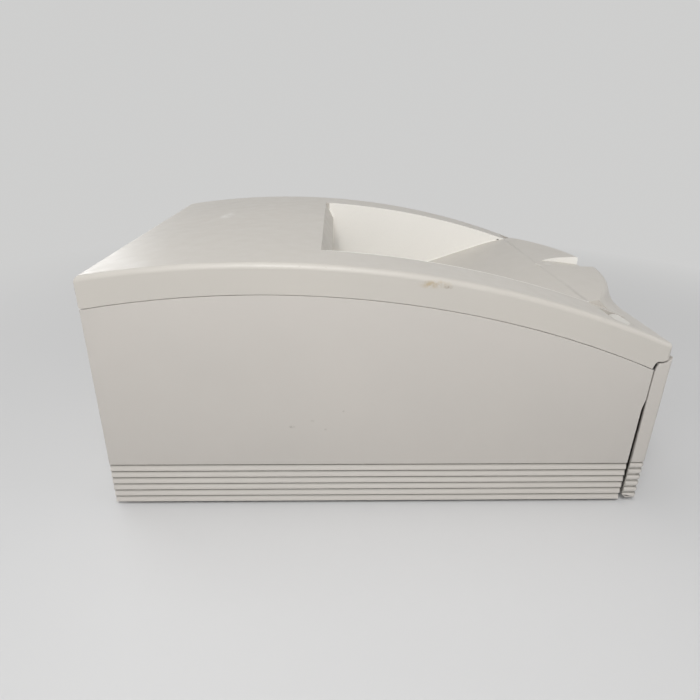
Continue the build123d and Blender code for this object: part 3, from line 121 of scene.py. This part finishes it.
def spotAt(tree, where, place, radius, stretch, soft):
    # 1 inside a small blot at a place, fading to 0 at its edge
    shift = tree.nodes.new("ShaderNodeVectorMath")
    shift.operation = "SUBTRACT"
    shift.inputs[1].default_value = place
    tree.links.new(where, shift.inputs[0])
    scale = tree.nodes.new("ShaderNodeVectorMath")
    scale.operation = "MULTIPLY"
    scale.inputs[1].default_value = [s / radius for s in stretch]
    tree.links.new(shift.outputs[0], scale.inputs[0])
    return spread(tree, vectorLength(tree, scale.outputs[0]), 1.0, 0.0, 1.0 - soft, 1.0)


def boxMask(tree, where, low, high, soft):
    # 1 inside a box and its mirror image, fading to 0 over a short way outside it
    parts = tree.nodes.new("ShaderNodeSeparateXYZ")
    tree.links.new(where, parts.inputs[0])
    sides = [combine(tree, "ABSOLUTE", parts.outputs[0], 0.0), parts.outputs[1], parts.outputs[2]]
    mask = 1.0
    for value, start, stop in zip(sides, low, high):
        mask = combine(tree, "MULTIPLY", mask, spread(tree, value, 0, 1, start - soft, start))
        mask = combine(tree, "MULTIPLY", mask, spread(tree, value, 1, 0, stop, stop + soft))
    return mask


# bands are the noise values between which a tone goes from none to full,
# spans are how far the roughness goes below and above that of the look
plastic = {
    "driftDetail": 2.0, "driftBand": (0.35, 0.65), "wallBand": (0.45, 0.6), "zoneFade": 0.0008,
    "grainDetail": 2.0, "grainFall": 0.6, "grainBand": (0.45, 0.75), "speckle": 0.12, "bumpReach": 0.0004,
    "markFade": 0.6, "markScale": 1.6, "markDetail": 4.0, "markFall": 0.7, "markBand": (0.38, 0.62),
    "sheenScale": 60.0, "sheenDetail": 3.0, "sheenBand": (0.3, 0.7), "sheenSpan": (-0.05, 0.06),
    "specular": 0.5,
}
steel = {
    "detail": 4.0, "fall": 0.6, "band": (0.3, 0.7), "span": (-0.08, 0.12), "metal": 1.0, "depth": 0.25,
    "bumpReach": 0.0002,
}
zinc = {
    "shadeShare": 0.5, "span": (-0.07, 0.08), "metal": 0.85, "grainScale": 900.0, "grainDetail": 3.0,
    "depth": 0.12, "bumpReach": 0.0002,
}
board = {
    "trackGap": 0.05, "turn": math.radians(90), "glossScale": 300.0, "gloss": (0.28, 0.42), "depth": 0.3,
    "bumpReach": 0.0002,
}
sheets = {
    "detail": 2.0, "fall": 0.5, "stretch": (0.0015, 0.0015, 1.0), "band": (0.35, 0.65), "gloss": (0.16, 0.34),
    "coat": 0.3, "depth": 0.4, "bumpReach": 0.0002,
}
rubber = {
    "detail": 4.0, "fall": 0.7, "band": (0.35, 0.7), "span": (-0.1, 0.1), "specular": 0.3, "depth": 0.4,
    "bumpReach": 0.0003,
}


def setRoughness(tree, shader, value, look, span, band=(0.0, 1.0)):
    rough = spread(tree, value, look["rough"] + span[0], look["rough"] + span[1], *band)
    tree.links.new(rough, shader.inputs["Roughness"])


def uprightMask(tree, where):
    # 1 on walls, 0 on level faces
    tilt = tree.nodes.new("ShaderNodeSeparateXYZ")
    tree.links.new(where.node.outputs["Normal"], tilt.inputs[0])
    return spread(tree, combine(tree, "ABSOLUTE", tilt.outputs[2], 0.0), 1, 0, *plastic["wallBand"])


def markMask(tree, where, place, radius, stretch, amount):
    spot = spotAt(tree, where, place, radius, stretch, plastic["markFade"])
    noise = noiseAt(tree, where, plastic["markScale"] / radius, plastic["markDetail"], plastic["markFall"])
    ragged = spread(tree, noise, 0, 1, *plastic["markBand"])
    return combine(tree, "MULTIPLY", combine(tree, "MULTIPLY", spot, ragged), amount)


def mouldedPlastic(name, look):
    # spark-textured moulding: fine grain, slow colour drift, a little grime, and boxes of painted shade and
    # painted light
    material, tree, shader, where = newMaterial(name)
    drift = noiseAt(tree, where, look["driftScale"], plastic["driftDetail"])
    color = blendColor(tree, spread(tree, drift, 0, 1, *plastic["driftBand"]), look["color"], look["drift"])
    # zones paint shade into grooves and light onto walls, inside their boxes
    for low, high, tint, wallsOnly in look.get("lightAndShadeZones", ()):
        mask = boxMask(tree, where, low, high, plastic["zoneFade"])
        if wallsOnly:
            mask = combine(tree, "MULTIPLY", mask, uprightMask(tree, where))
        color = blendColor(tree, mask, color, tint)
    grain = noiseAt(tree, where, look["grainScale"], plastic["grainDetail"], plastic["grainFall"])
    speckle = spread(tree, grain, 0, plastic["speckle"], *plastic["grainBand"])
    color = blendColor(tree, speckle, color, look["shade"])
    for place, radius, stretch, amount, tint in look.get("marks", ()):
        color = blendColor(tree, markMask(tree, where, place, radius, stretch, amount), color, tint)
    tree.links.new(color, shader.inputs["Base Color"])
    sheen = noiseAt(tree, where, plastic["sheenScale"], plastic["sheenDetail"])
    setRoughness(tree, shader, sheen, look, plastic["sheenSpan"], plastic["sheenBand"])
    shader.inputs["Specular IOR Level"].default_value = look.get("specular", plastic["specular"])
    bumpFrom(tree, shader, grain, look["grainDepth"], plastic["bumpReach"])
    return material


def groundSteel(name, look):
    # fine parallel grinding lines along one axis
    material, tree, shader, where = newMaterial(name)
    lines = noiseAt(tree, where, look["lineScale"], steel["detail"], steel["fall"], look["along"])
    color = blendColor(tree, spread(tree, lines, 0, 1, *steel["band"]), look["color"], look["shade"])
    tree.links.new(color, shader.inputs["Base Color"])
    setRoughness(tree, shader, lines, look, steel["span"], steel["band"])
    shader.inputs["Metallic"].default_value = steel["metal"]
    bumpFrom(tree, shader, lines, steel["depth"], steel["bumpReach"])
    return material


def zincSheet(name, look):
    # plated sheet with a faint spangle of crystals
    material, tree, shader, where = newMaterial(name)
    cells = tree.nodes.new("ShaderNodeTexVoronoi")
    cells.inputs["Scale"].default_value = look["spangleScale"]
    tree.links.new(where, cells.inputs["Vector"])
    tone = tree.nodes.new("ShaderNodeSeparateColor")
    tree.links.new(cells.outputs["Color"], tone.inputs["Color"])
    shade = spread(tree, tone.outputs["Red"], 0, zinc["shadeShare"])
    tree.links.new(blendColor(tree, shade, look["color"], look["shade"]), shader.inputs["Base Color"])
    setRoughness(tree, shader, tone.outputs["Green"], look, zinc["span"])
    shader.inputs["Metallic"].default_value = zinc["metal"]
    grain = noiseAt(tree, where, zinc["grainScale"], zinc["grainDetail"])
    bumpFrom(tree, shader, grain, zinc["depth"], zinc["bumpReach"])
    return material


def circuitBoard(name, look):
    # solder resist in two greens between lighter tracks
    material, tree, shader, where = newMaterial(name)
    bricks = tree.nodes.new("ShaderNodeTexBrick")
    bricks.inputs["Scale"].default_value = look["trackScale"]
    bricks.inputs["Mortar Size"].default_value = board["trackGap"]
    bricks.inputs["Color1"].default_value = (*look["color"], 1)
    bricks.inputs["Color2"].default_value = (*look["shade"], 1)
    bricks.inputs["Mortar"].default_value = (*look["track"], 1)
    turned = tree.nodes.new("ShaderNodeMapping")
    turned.inputs["Rotation"].default_value = (board["turn"], 0, 0)
    tree.links.new(where, turned.inputs["Vector"])
    tree.links.new(turned.outputs["Vector"], bricks.inputs["Vector"])
    tree.links.new(bricks.outputs["Color"], shader.inputs["Base Color"])
    gloss = spread(tree, noiseAt(tree, where, board["glossScale"]), *board["gloss"])
    tree.links.new(gloss, shader.inputs["Roughness"])
    bumpFrom(tree, shader, bricks.outputs["Fac"], board["depth"], board["bumpReach"])
    return material


def sheetEdges(name, look):
    # a stack of thin sheets: fine level lines along its edges
    material, tree, shader, where = newMaterial(name)
    lines = noiseAt(tree, where, look["lineScale"], sheets["detail"], sheets["fall"], sheets["stretch"])
    color = blendColor(tree, spread(tree, lines, 0, 1, *sheets["band"]), look["color"], look["shade"])
    tree.links.new(color, shader.inputs["Base Color"])
    tree.links.new(spread(tree, lines, *sheets["gloss"]), shader.inputs["Roughness"])
    shader.inputs["Coat Weight"].default_value = sheets["coat"]
    bumpFrom(tree, shader, lines, sheets["depth"], sheets["bumpReach"])
    return material


def groundRubber(name, look):
    # matt rubber, evenly rough
    material, tree, shader, where = newMaterial(name)
    grain = noiseAt(tree, where, look["grainScale"], rubber["detail"], rubber["fall"])
    color = blendColor(tree, spread(tree, grain, 0, 1, *rubber["band"]), look["color"], look["shade"])
    tree.links.new(color, shader.inputs["Base Color"])
    setRoughness(tree, shader, grain, look, rubber["span"])
    shader.inputs["Specular IOR Level"].default_value = rubber["specular"]
    bumpFrom(tree, shader, grain, rubber["depth"], rubber["bumpReach"])
    return material


# a zone is a box's low and high corner, its colour and whether it colours walls only, and paints shade
# or light into a surface; a mark is its place, radius, stretch, strength and colour
# painted shade: a darker colour for the recessed parts of the rib grooves, where shadow falls under each rib
paintedGrooveShade = (0.33, 0.315, 0.285)
# painted light: a near-white colour for the well's far wall and the finger notch's walls, standing in for the
# light that falls on them
paintedWallLight = (0.93, 0.91, 0.86)
caseLook = {
    "color": (0.535, 0.505, 0.468), "drift": (0.52, 0.492, 0.457), "shade": (0.45, 0.425, 0.39),
    "driftScale": 7.0, "grainScale": 1500.0, "grainDepth": 0.10, "rough": 0.50, "specular": 0.4,
    # painted shade in the rib grooves of the side panels and of the door's front
    "lightAndShadeZones": (
        ((0.2070, -0.2800, 0.006), (0.2102, 0.2800, 0.0506), paintedGrooveShade, False),
        ((-0.001, -0.2781, 0.006), (0.2102, -0.2740, 0.0506), paintedGrooveShade, False),
    ),
    "marks": (
        ((-0.212, 0.092, 0.096), 0.0036, (0.1, 0.8, 2.0), 0.5, (0.22, 0.2, 0.17)),
        ((-0.212, 0.058, 0.093), 0.0022, (0.1, 1.2, 1.6), 0.5, (0.26, 0.24, 0.2)),
        ((-0.212, 0.071, 0.103), 0.003, (0.1, 1.0, 2.2), 0.4, (0.28, 0.26, 0.22)),
        ((-0.212, 0.040, 0.114), 0.0018, (0.1, 1.0, 1.4), 0.5, (0.26, 0.24, 0.2)),
    ),
}
coverLook = {
    "color": (0.555, 0.525, 0.478), "drift": (0.54, 0.512, 0.468), "shade": (0.47, 0.445, 0.40),
    "driftScale": 6.0, "grainScale": 1500.0, "grainDepth": 0.10, "rough": 0.38, "specular": 0.5,
    # painted light on the well's far wall and, on walls only, on the finger notch
    "lightAndShadeZones": (
        ((0.1530, -0.2130, 0.110), (0.1546, 0.0570, 0.2625), paintedWallLight, False),
        ((-0.001, -0.2770, 0.180), (0.0256, -0.2060, 0.2200), paintedWallLight, True),
    ),
    "marks": (
        ((-0.2105, -0.041, 0.2450), 0.009, (0.6, 0.55, 1.9), 0.8, (0.45, 0.36, 0.23)),
        ((-0.2105, -0.054, 0.2425), 0.004, (0.6, 0.7, 1.8), 0.7, (0.27, 0.21, 0.14)),
        ((0.0450, 0.190, 0.262), 0.016, (0.5, 1.6, 1.0), 0.55, (0.82, 0.81, 0.78)),
    ),
}
finishes = {
    "cover_plastic": mouldedPlastic("coverPlastic", coverLook),
    "case_plastic": mouldedPlastic("casePlastic", caseLook),
    "button_plastic": mouldedPlastic("buttonPlastic", {
        "color": (0.62, 0.60, 0.555), "drift": (0.605, 0.585, 0.54), "shade": (0.53, 0.51, 0.465),
        "driftScale": 30.0, "grainScale": 2500.0, "grainDepth": 0.03, "rough": 0.3}),
    "lamp_lens": mouldedPlastic("lampLens", {
        "color": (0.60, 0.62, 0.58), "drift": (0.56, 0.60, 0.55), "shade": (0.45, 0.5, 0.44),
        "driftScale": 300.0, "grainScale": 3000.0, "grainDepth": 0.02, "rough": 0.16}),
    "frame_plastic": mouldedPlastic("framePlastic", {
        "color": (0.74, 0.72, 0.68), "drift": (0.72, 0.70, 0.66), "shade": (0.62, 0.6, 0.56),
        "driftScale": 9.0, "grainScale": 1200.0, "grainDepth": 0.1, "rough": 0.5}),
    "rear_paint": mouldedPlastic("rearPaint", {
        "color": (0.55, 0.53, 0.495), "drift": (0.537, 0.517, 0.483), "shade": (0.45, 0.43, 0.40),
        "driftScale": 8.0, "grainScale": 700.0, "grainDepth": 0.22, "rough": 0.5}),
    "magnet": mouldedPlastic("bondedMagnet", {
        "color": (0.035, 0.035, 0.038), "drift": (0.045, 0.045, 0.048), "shade": (0.09, 0.09, 0.09),
        "driftScale": 90.0, "grainScale": 2600.0, "grainDepth": 0.15, "rough": 0.55}),
    "bush_plastic": mouldedPlastic("bushPlastic", {
        "color": (0.76, 0.75, 0.69), "drift": (0.74, 0.73, 0.67), "shade": (0.66, 0.64, 0.57),
        "driftScale": 40.0, "grainScale": 900.0, "grainDepth": 0.05, "rough": 0.36}),
    "gear_plastic": mouldedPlastic("gearPlastic", {
        "color": (0.78, 0.77, 0.70), "drift": (0.76, 0.75, 0.68), "shade": (0.65, 0.63, 0.55),
        "driftScale": 60.0, "grainScale": 1100.0, "grainDepth": 0.06, "rough": 0.33}),
    "motor_paint": mouldedPlastic("motorPaint", {
        "color": (0.03, 0.03, 0.032), "drift": (0.038, 0.038, 0.04), "shade": (0.07, 0.07, 0.07),
        "driftScale": 50.0, "grainScale": 1800.0, "grainDepth": 0.12, "rough": 0.38}),
    "socket_black": mouldedPlastic("socketBlack", {
        "color": (0.022, 0.022, 0.023), "drift": (0.027, 0.027, 0.028), "shade": (0.05, 0.05, 0.05),
        "driftScale": 70.0, "grainScale": 2200.0, "grainDepth": 0.1, "rough": 0.42}),
    "rocker_black": mouldedPlastic("rockerBlack", {
        "color": (0.02, 0.02, 0.021), "drift": (0.024, 0.024, 0.025), "shade": (0.04, 0.04, 0.04),
        "driftScale": 70.0, "grainScale": 2500.0, "grainDepth": 0.03, "rough": 0.24}),
    "fan_black": mouldedPlastic("fanBlack", {
        "color": (0.026, 0.026, 0.027), "drift": (0.032, 0.032, 0.033), "shade": (0.06, 0.06, 0.06),
        "driftScale": 50.0, "grainScale": 1500.0, "grainDepth": 0.1, "rough": 0.5}),
    "bracket_black": mouldedPlastic("bracketNylon", {
        "color": (0.03, 0.03, 0.031), "drift": (0.037, 0.037, 0.038), "shade": (0.11, 0.11, 0.1),
        "driftScale": 60.0, "grainScale": 900.0, "grainDepth": 0.18, "rough": 0.52}),
    "tray_plastic": mouldedPlastic("trayPlastic", {
        "color": (0.055, 0.06, 0.065), "drift": (0.062, 0.067, 0.072), "shade": (0.1, 0.1, 0.11),
        "driftScale": 20.0, "grainScale": 1300.0, "grainDepth": 0.15, "rough": 0.48}),
    "sheet_steel": zincSheet("zincSheet", {
        "color": (0.52, 0.53, 0.53), "shade": (0.40, 0.41, 0.42), "spangleScale": 160.0, "rough": 0.38}),
    "guide_steel": groundSteel("guideSteel", {
        "color": (0.56, 0.57, 0.58), "shade": (0.46, 0.47, 0.48), "lineScale": 900.0,
        "along": (0.02, 1, 1), "rough": 0.3}),
    "bright_steel": groundSteel("brightSteel", {
        "color": (0.62, 0.62, 0.63), "shade": (0.5, 0.5, 0.51), "lineScale": 1400.0,
        "along": (1, 0.04, 0.04), "rough": 0.24}),
    "head_alloy": groundSteel("headAlloy", {
        "color": (0.66, 0.67, 0.68), "shade": (0.56, 0.57, 0.58), "lineScale": 1100.0,
        "along": (0.02, 1, 1), "rough": 0.36}),
    "pinion_brass": groundSteel("pinionBrass", {
        "color": (0.72, 0.54, 0.24), "shade": (0.6, 0.43, 0.17), "lineScale": 1600.0,
        "along": (1, 0.1, 0.1), "rough": 0.28}),
    "board_green": circuitBoard("boardGreen", {
        "color": (0.015, 0.12, 0.045), "shade": (0.013, 0.10, 0.04), "track": (0.03, 0.22, 0.09),
        "trackScale": 180.0}),
    "film": sheetEdges("filmEdges", {
        "color": (0.16, 0.28, 0.46), "shade": (0.24, 0.38, 0.56), "lineScale": 2200.0}),
    "roller_rubber": groundRubber("rollerRubber", {
        "color": (0.03, 0.03, 0.032), "shade": (0.05, 0.05, 0.052), "grainScale": 1500.0, "rough": 0.6}),
    "foot_rubber": groundRubber("footRubber", {
        "color": (0.02, 0.02, 0.02), "shade": (0.045, 0.045, 0.045), "grainScale": 1100.0, "rough": 0.75}),
}
slotOf = {row["node"]: row["material_slot"] for row in frame["record"]["subparts"]}
bodyOf = {node: body for body, nodes in frame["record"]["behaviour"]["bodies"].items() for node in nodes}


doorEdges = {"cornerRadius": 0.005, "frontY": 0.28, "skin": 0.0003}
# the lid's arched top, the rounding along its two long edges, and how close counts as on it
crown = {
    "radius": 1.025, "peakY": 0.114, "centreZ": -0.7615, "sideX": 0.212, "edgeRadius": 0.0055,
    "rearY": 0.272, "frontY": -0.268, "longEdge": 0.006, "cuts": 5,
    "slack": 0.00002, "near": 0.0002, "skin": 0.001, "agree": 0.75,
}


def edgeOffset(point):
    # how far a point lies from the centre line of the rounded edge, sideways and outwards
    reach = math.hypot(point.y - crown["peakY"], point.z - crown["centreZ"])
    sideways = abs(point.x) - (crown["sideX"] - crown["edgeRadius"])
    return reach, Vector((max(sideways, 0), max(reach - (crown["radius"] - crown["edgeRadius"]), 0)))


def besideCrown(point):
    return abs(point.x) > crown["sideX"] - crown["edgeRadius"] - crown["slack"]


def onCrownEdge(point):
    reach, out = edgeOffset(point)
    inside = crown["frontY"] < point.y < crown["rearY"]
    above = reach > crown["radius"] - crown["edgeRadius"] - crown["slack"]
    return inside and besideCrown(point) and above and abs(out.length - crown["edgeRadius"]) < crown["skin"]


def turnEdges(bm):
    # turns the thin triangles of the rounded edge so that they follow it
    faces = {f for f in bm.faces
             if besideCrown(f.calc_center_median()) and all(onCrownEdge(v.co) for v in f.verts)}
    edges = [e for e in bm.edges if len(e.link_faces) == 2 and all(f in faces for f in e.link_faces)]
    bmesh.ops.beautify_fill(bm, faces=list(faces), edges=edges, method="ANGLE")
    byCorners = {}
    for face in bm.faces:
        byCorners.setdefault(frozenset(face.verts), []).append(face)
    doubled = [face for faces in byCorners.values() if len(faces) > 1 for face in faces]
    bmesh.ops.delete(bm, geom=doubled, context="FACES")


def evenCrownEdge(bm):
    # the rounded long edges of the lid, cut finer and brought onto their true round
    turnEdges(bm)
    long = []
    for edge in bm.edges:
        first, last = [v.co for v in edge.verts]
        onEdge = onCrownEdge(first) and onCrownEdge(last) and besideCrown((first + last) / 2)
        if onEdge and (last - first).length > crown["longEdge"]:
            long.append(edge)
    bmesh.ops.subdivide_edges(bm, edges=long, cuts=crown["cuts"])
    for vert in [v for v in bm.verts if onCrownEdge(v.co)]:
        reach, out = edgeOffset(vert.co)
        out *= crown["edgeRadius"] / out.length
        scale = (crown["radius"] - crown["edgeRadius"] + out.y) / reach
        vert.co.x = math.copysign(crown["sideX"] - crown["edgeRadius"] + out.x, vert.co.x)
        vert.co.y = crown["peakY"] + (vert.co.y - crown["peakY"]) * scale
        vert.co.z = crown["centreZ"] + (vert.co.z - crown["centreZ"]) * scale
    bmesh.ops.triangulate(bm, faces=[f for f in bm.faces if len(f.verts) > 3])
    turnEdges(bm)


def crownNormals(mesh, source):
    # true normals on the crown and its rounded long edges, the moulding's own elsewhere
    centres = KDTree(len(source.polygons))
    for polygon in source.polygons:
        centres.insert(polygon.center, polygon.index)
    centres.balance()
    normals = []
    for polygon in mesh.polygons:
        twin, distance = centres.find(polygon.center)[1:]
        corners = source.polygons[twin].loop_indices if distance < crown["slack"] else ()
        for corner in polygon.loop_indices:
            place = mesh.vertices[mesh.loops[corner].vertex_index].co
            reach, out = edgeOffset(place)
            inside = crown["frontY"] < place.y < crown["rearY"]
            rounded = min(out) > crown["slack"]
            if abs(out.length - crown["edgeRadius"]) < crown["near"] and (inside or not rounded):
                true = Vector((math.copysign(out.x, place.x), out.y * (place.y - crown["peakY"]) / reach,
                               out.y * (place.z - crown["centreZ"]) / reach)).normalized()
                if rounded or true.dot(polygon.normal) > crown["agree"]:
                    normals.append(true)
                    continue
            if corners:
                places = {c: source.vertices[source.loops[c].vertex_index].co for c in corners}
                same = min(corners, key=lambda c: (places[c] - place).length)
                normals.append(source.corner_normals[same].vector.copy())
            else:
                normals.append(polygon.normal.copy())
    mesh.normals_split_custom_set(normals)


def doorSkin(point):
    # on the outer face of the door, its rounded upright corners included
    radius = doorEdges["cornerRadius"]
    across = abs(point.x) - (crown["sideX"] - radius)
    ahead = -point.y - (doorEdges["frontY"] - radius)
    if across > 0 and ahead > 0:
        return abs(math.hypot(across, ahead) - radius) < doorEdges["skin"]
    return abs(across - radius) < doorEdges["skin"] or abs(ahead - radius) < doorEdges["skin"]


def roundEdges(bm, node, look):
    # the hard edges of the outer face: those of the ribs first, then those above them
    low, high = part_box(node)
    skin = doorSkin if node == "front_door" else lambda p: min(p.x - low[0], high[0] - p.x) < look["skin"]
    for width, bottom, top in ((look["ribWidth"], 0, look["ribTop"]), (look["width"], look["ribTop"], 1)):
        sharp = [e for e in bm.edges if len(e.link_faces) == 2 and e.calc_face_angle(0.0) > look["sharp"]
                 and all(skin(v.co) and bottom < v.co.z <= top for v in e.verts)]
        bmesh.ops.bevel(bm, geom=sharp, offset=width, offset_type="OFFSET", affect="EDGES",
                        segments=look["segments"], profile=look["profile"], material=-1, clamp_overlap=False)


def softShell(node, look):
    # a merged copy of a moulded shell: the lid with an even crown edge, the others with rounded edges
    bm = bmesh.new()
    bm.from_mesh(frame["nodes"][node].data)
    bmesh.ops.remove_doubles(bm, verts=bm.verts, dist=look["mergeDist"])
    if node == "lid_shell":
        evenCrownEdge(bm)
    else:
        bmesh.ops.dissolve_limit(bm, angle_limit=look["flat"], verts=bm.verts, edges=bm.edges)
        roundEdges(bm, node, look)
    bmesh.ops.triangulate(bm, faces=[f for f in bm.faces if len(f.verts) > 4])
    print(look["name"], "faces", len(bm.faces), "open edges", sum(len(e.link_faces) != 2 for e in bm.edges))
    mesh = bpy.data.meshes.new(look["name"])
    bm.to_mesh(mesh)
    bm.free()
    mesh.shade_smooth()
    mesh.set_sharp_from_angle(angle=look["crease"])
    if node == "lid_shell":
        crownNormals(mesh, frame["nodes"][node].data)
    shell = bpy.data.objects.new(look["name"], mesh)
    bpy.context.scene.collection.objects.link(shell)
    mesh.materials.append(finishes[slotOf[node]])
    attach(shell, bodyOf[node])
    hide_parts(node)


for row in frame["record"]["subparts"]:
    slots = frame["nodes"][row["node"]].data.materials
    slots.clear()
    slots.append(finishes[row["material_slot"]])
print("finishes set:", len(finishes))

shells = {
    "left_side_panel": {"name": "leftSideShell", "width": 0.0007, "ribWidth": 0.0005},
    "right_side_panel": {"name": "rightSideShell", "width": 0.0007, "ribWidth": 0.0005},
    "front_door": {"name": "doorShell", "width": 0.0008, "ribWidth": 0.0024},
    "lid_shell": {"name": "lidShell"},
}
shellWork = {
    "mergeDist": 0.00001, "flat": math.radians(0.3), "sharp": math.radians(35), "crease": math.radians(40),
    "skin": 0.0003, "ribTop": 0.0506, "segments": 3, "profile": 0.5,
}
for node, look in shells.items():
    softShell(node, {**shellWork, **look})
print("shells rounded:", len(shells))

# pale floor and backdrop, and the camera where the photograph was taken from
studio = {
    "floorHalf": 4.0, "floorColor": (0.66, 0.66, 0.66), "floorShade": (0.6, 0.6, 0.6), "shadeShare": 0.1,
    "floorScale": 3.0, "floorDetail": 2.0, "floorRough": 0.8, "fadeFrom": 0.35, "fadeTo": 1.25,
    "worldColor": (0.81, 0.81, 0.82), "worldStrength": 0.35, "backdrop": (0.62, 0.62, 0.615),
    "cameraPlace": (-0.679, 0.049, 0.3844), "lens": 27.77,
    "right": (-0.02515, -0.9996, 0.01346), "up": (0.40026, 0.00227, 0.91637),
    "back": (-0.91603, 0.02844, 0.40004),
}
lampTarget = (0, 0, 0.15)
lamps = {
    "overheadLamp": {"place": (0.0, 0.45, 1.80), "target": lampTarget, "size": (1.3, 1.0), "power": 5},
    "farLamp": {"place": (1.5, 1.7, 0.8), "target": lampTarget, "size": (1.5, 1.0), "power": 11},
    "sideLamp": {"place": (-1.15, 0.15, 1.40), "target": (-0.1, 0, 0.15), "size": (0.7, 0.7), "power": 16},
    "lowLamp": {"place": (-2.0, 0.1, 0.5), "target": lampTarget, "size": (1.4, 0.8), "power": 5},
    "frontLamp": {"place": (-0.5, -2.0, 0.9), "target": lampTarget, "size": (1.2, 0.9), "power": 5},
}


def seenRays(tree):
    # 1 where the camera sees a surface directly, in a reflection or through a pane
    rays = tree.nodes.new("ShaderNodeLightPath").outputs
    seen = combine(tree, "MAXIMUM", rays["Is Camera Ray"], rays["Is Glossy Ray"])
    return combine(tree, "MAXIMUM", seen, rays["Is Transmission Ray"])


def buildFloor():
    bm = bmesh.new()
    bmesh.ops.create_grid(bm, x_segments=1, y_segments=1, size=studio["floorHalf"])
    mesh = bpy.data.meshes.new("studioFloor")
    bm.to_mesh(mesh)
    bm.free()
    floor = bpy.data.objects.new("studioFloor", mesh)
    bpy.context.scene.collection.objects.link(floor)
    material, tree, shader, where = newMaterial("studioPaper")
    mottle = noiseAt(tree, where, studio["floorScale"], studio["floorDetail"])
    tone = spread(tree, mottle, 0, studio["shadeShare"])
    color = blendColor(tree, tone, studio["floorColor"], studio["floorShade"])
    tree.links.new(color, shader.inputs["Base Color"])
    shader.inputs["Roughness"].default_value = studio["floorRough"]
    # far from the object the paper turns into the even backdrop
    far = spread(tree, vectorLength(tree, where), 0.0, 1.0, studio["fadeFrom"], studio["fadeTo"])
    glow = tree.nodes.new("ShaderNodeEmission")
    glow.inputs["Color"].default_value = (*studio["backdrop"], 1)
    blend = tree.nodes.new("ShaderNodeMixShader")
    tree.links.new(combine(tree, "MULTIPLY", far, seenRays(tree)), blend.inputs[0])
    tree.links.new(shader.outputs[0], blend.inputs[1])
    tree.links.new(glow.outputs[0], blend.inputs[2])
    tree.links.new(blend.outputs[0], tree.nodes["Material Output"].inputs["Surface"])
    mesh.materials.append(material)


def buildWorld():
    world = bpy.data.worlds.new("studioWorld")
    bpy.context.scene.world = world
    world.use_nodes = True
    sky = world.node_tree
    light = sky.nodes["Background"]
    light.inputs["Color"].default_value = (*studio["worldColor"], 1)
    light.inputs["Strength"].default_value = studio["worldStrength"]
    backdrop = sky.nodes.new("ShaderNodeBackground")
    backdrop.inputs["Color"].default_value = (*studio["backdrop"], 1)
    blend = sky.nodes.new("ShaderNodeMixShader")
    sky.links.new(seenRays(sky), blend.inputs[0])
    sky.links.new(light.outputs[0], blend.inputs[1])
    sky.links.new(backdrop.outputs[0], blend.inputs[2])
    sky.links.new(blend.outputs[0], sky.nodes["World Output"].inputs["Surface"])


def softLamp(name, place, target, size, power):
    data = bpy.data.lights.new(name, "AREA")
    data.shape = "RECTANGLE"
    data.size, data.size_y = size
    data.energy = power
    lamp = bpy.data.objects.new(name, data)
    lamp.location = place
    lamp.rotation_euler = (Vector(target) - Vector(place)).to_track_quat("-Z", "Y").to_euler()
    bpy.context.scene.collection.objects.link(lamp)


buildFloor()
buildWorld()
for name, lamp in lamps.items():
    softLamp(name, **lamp)

cameraData = bpy.data.cameras.new("photoCamera")
cameraData.lens = studio["lens"]
camera = bpy.data.objects.new("photoCamera", cameraData)
axes = Matrix((studio["right"], studio["up"], studio["back"])).transposed()
camera.matrix_world = Matrix.Translation(studio["cameraPlace"]) @ axes.to_4x4()
bpy.context.scene.collection.objects.link(camera)
bpy.context.scene.camera = camera
bpy.context.scene.view_settings.view_transform = "Standard"
print("studio set")
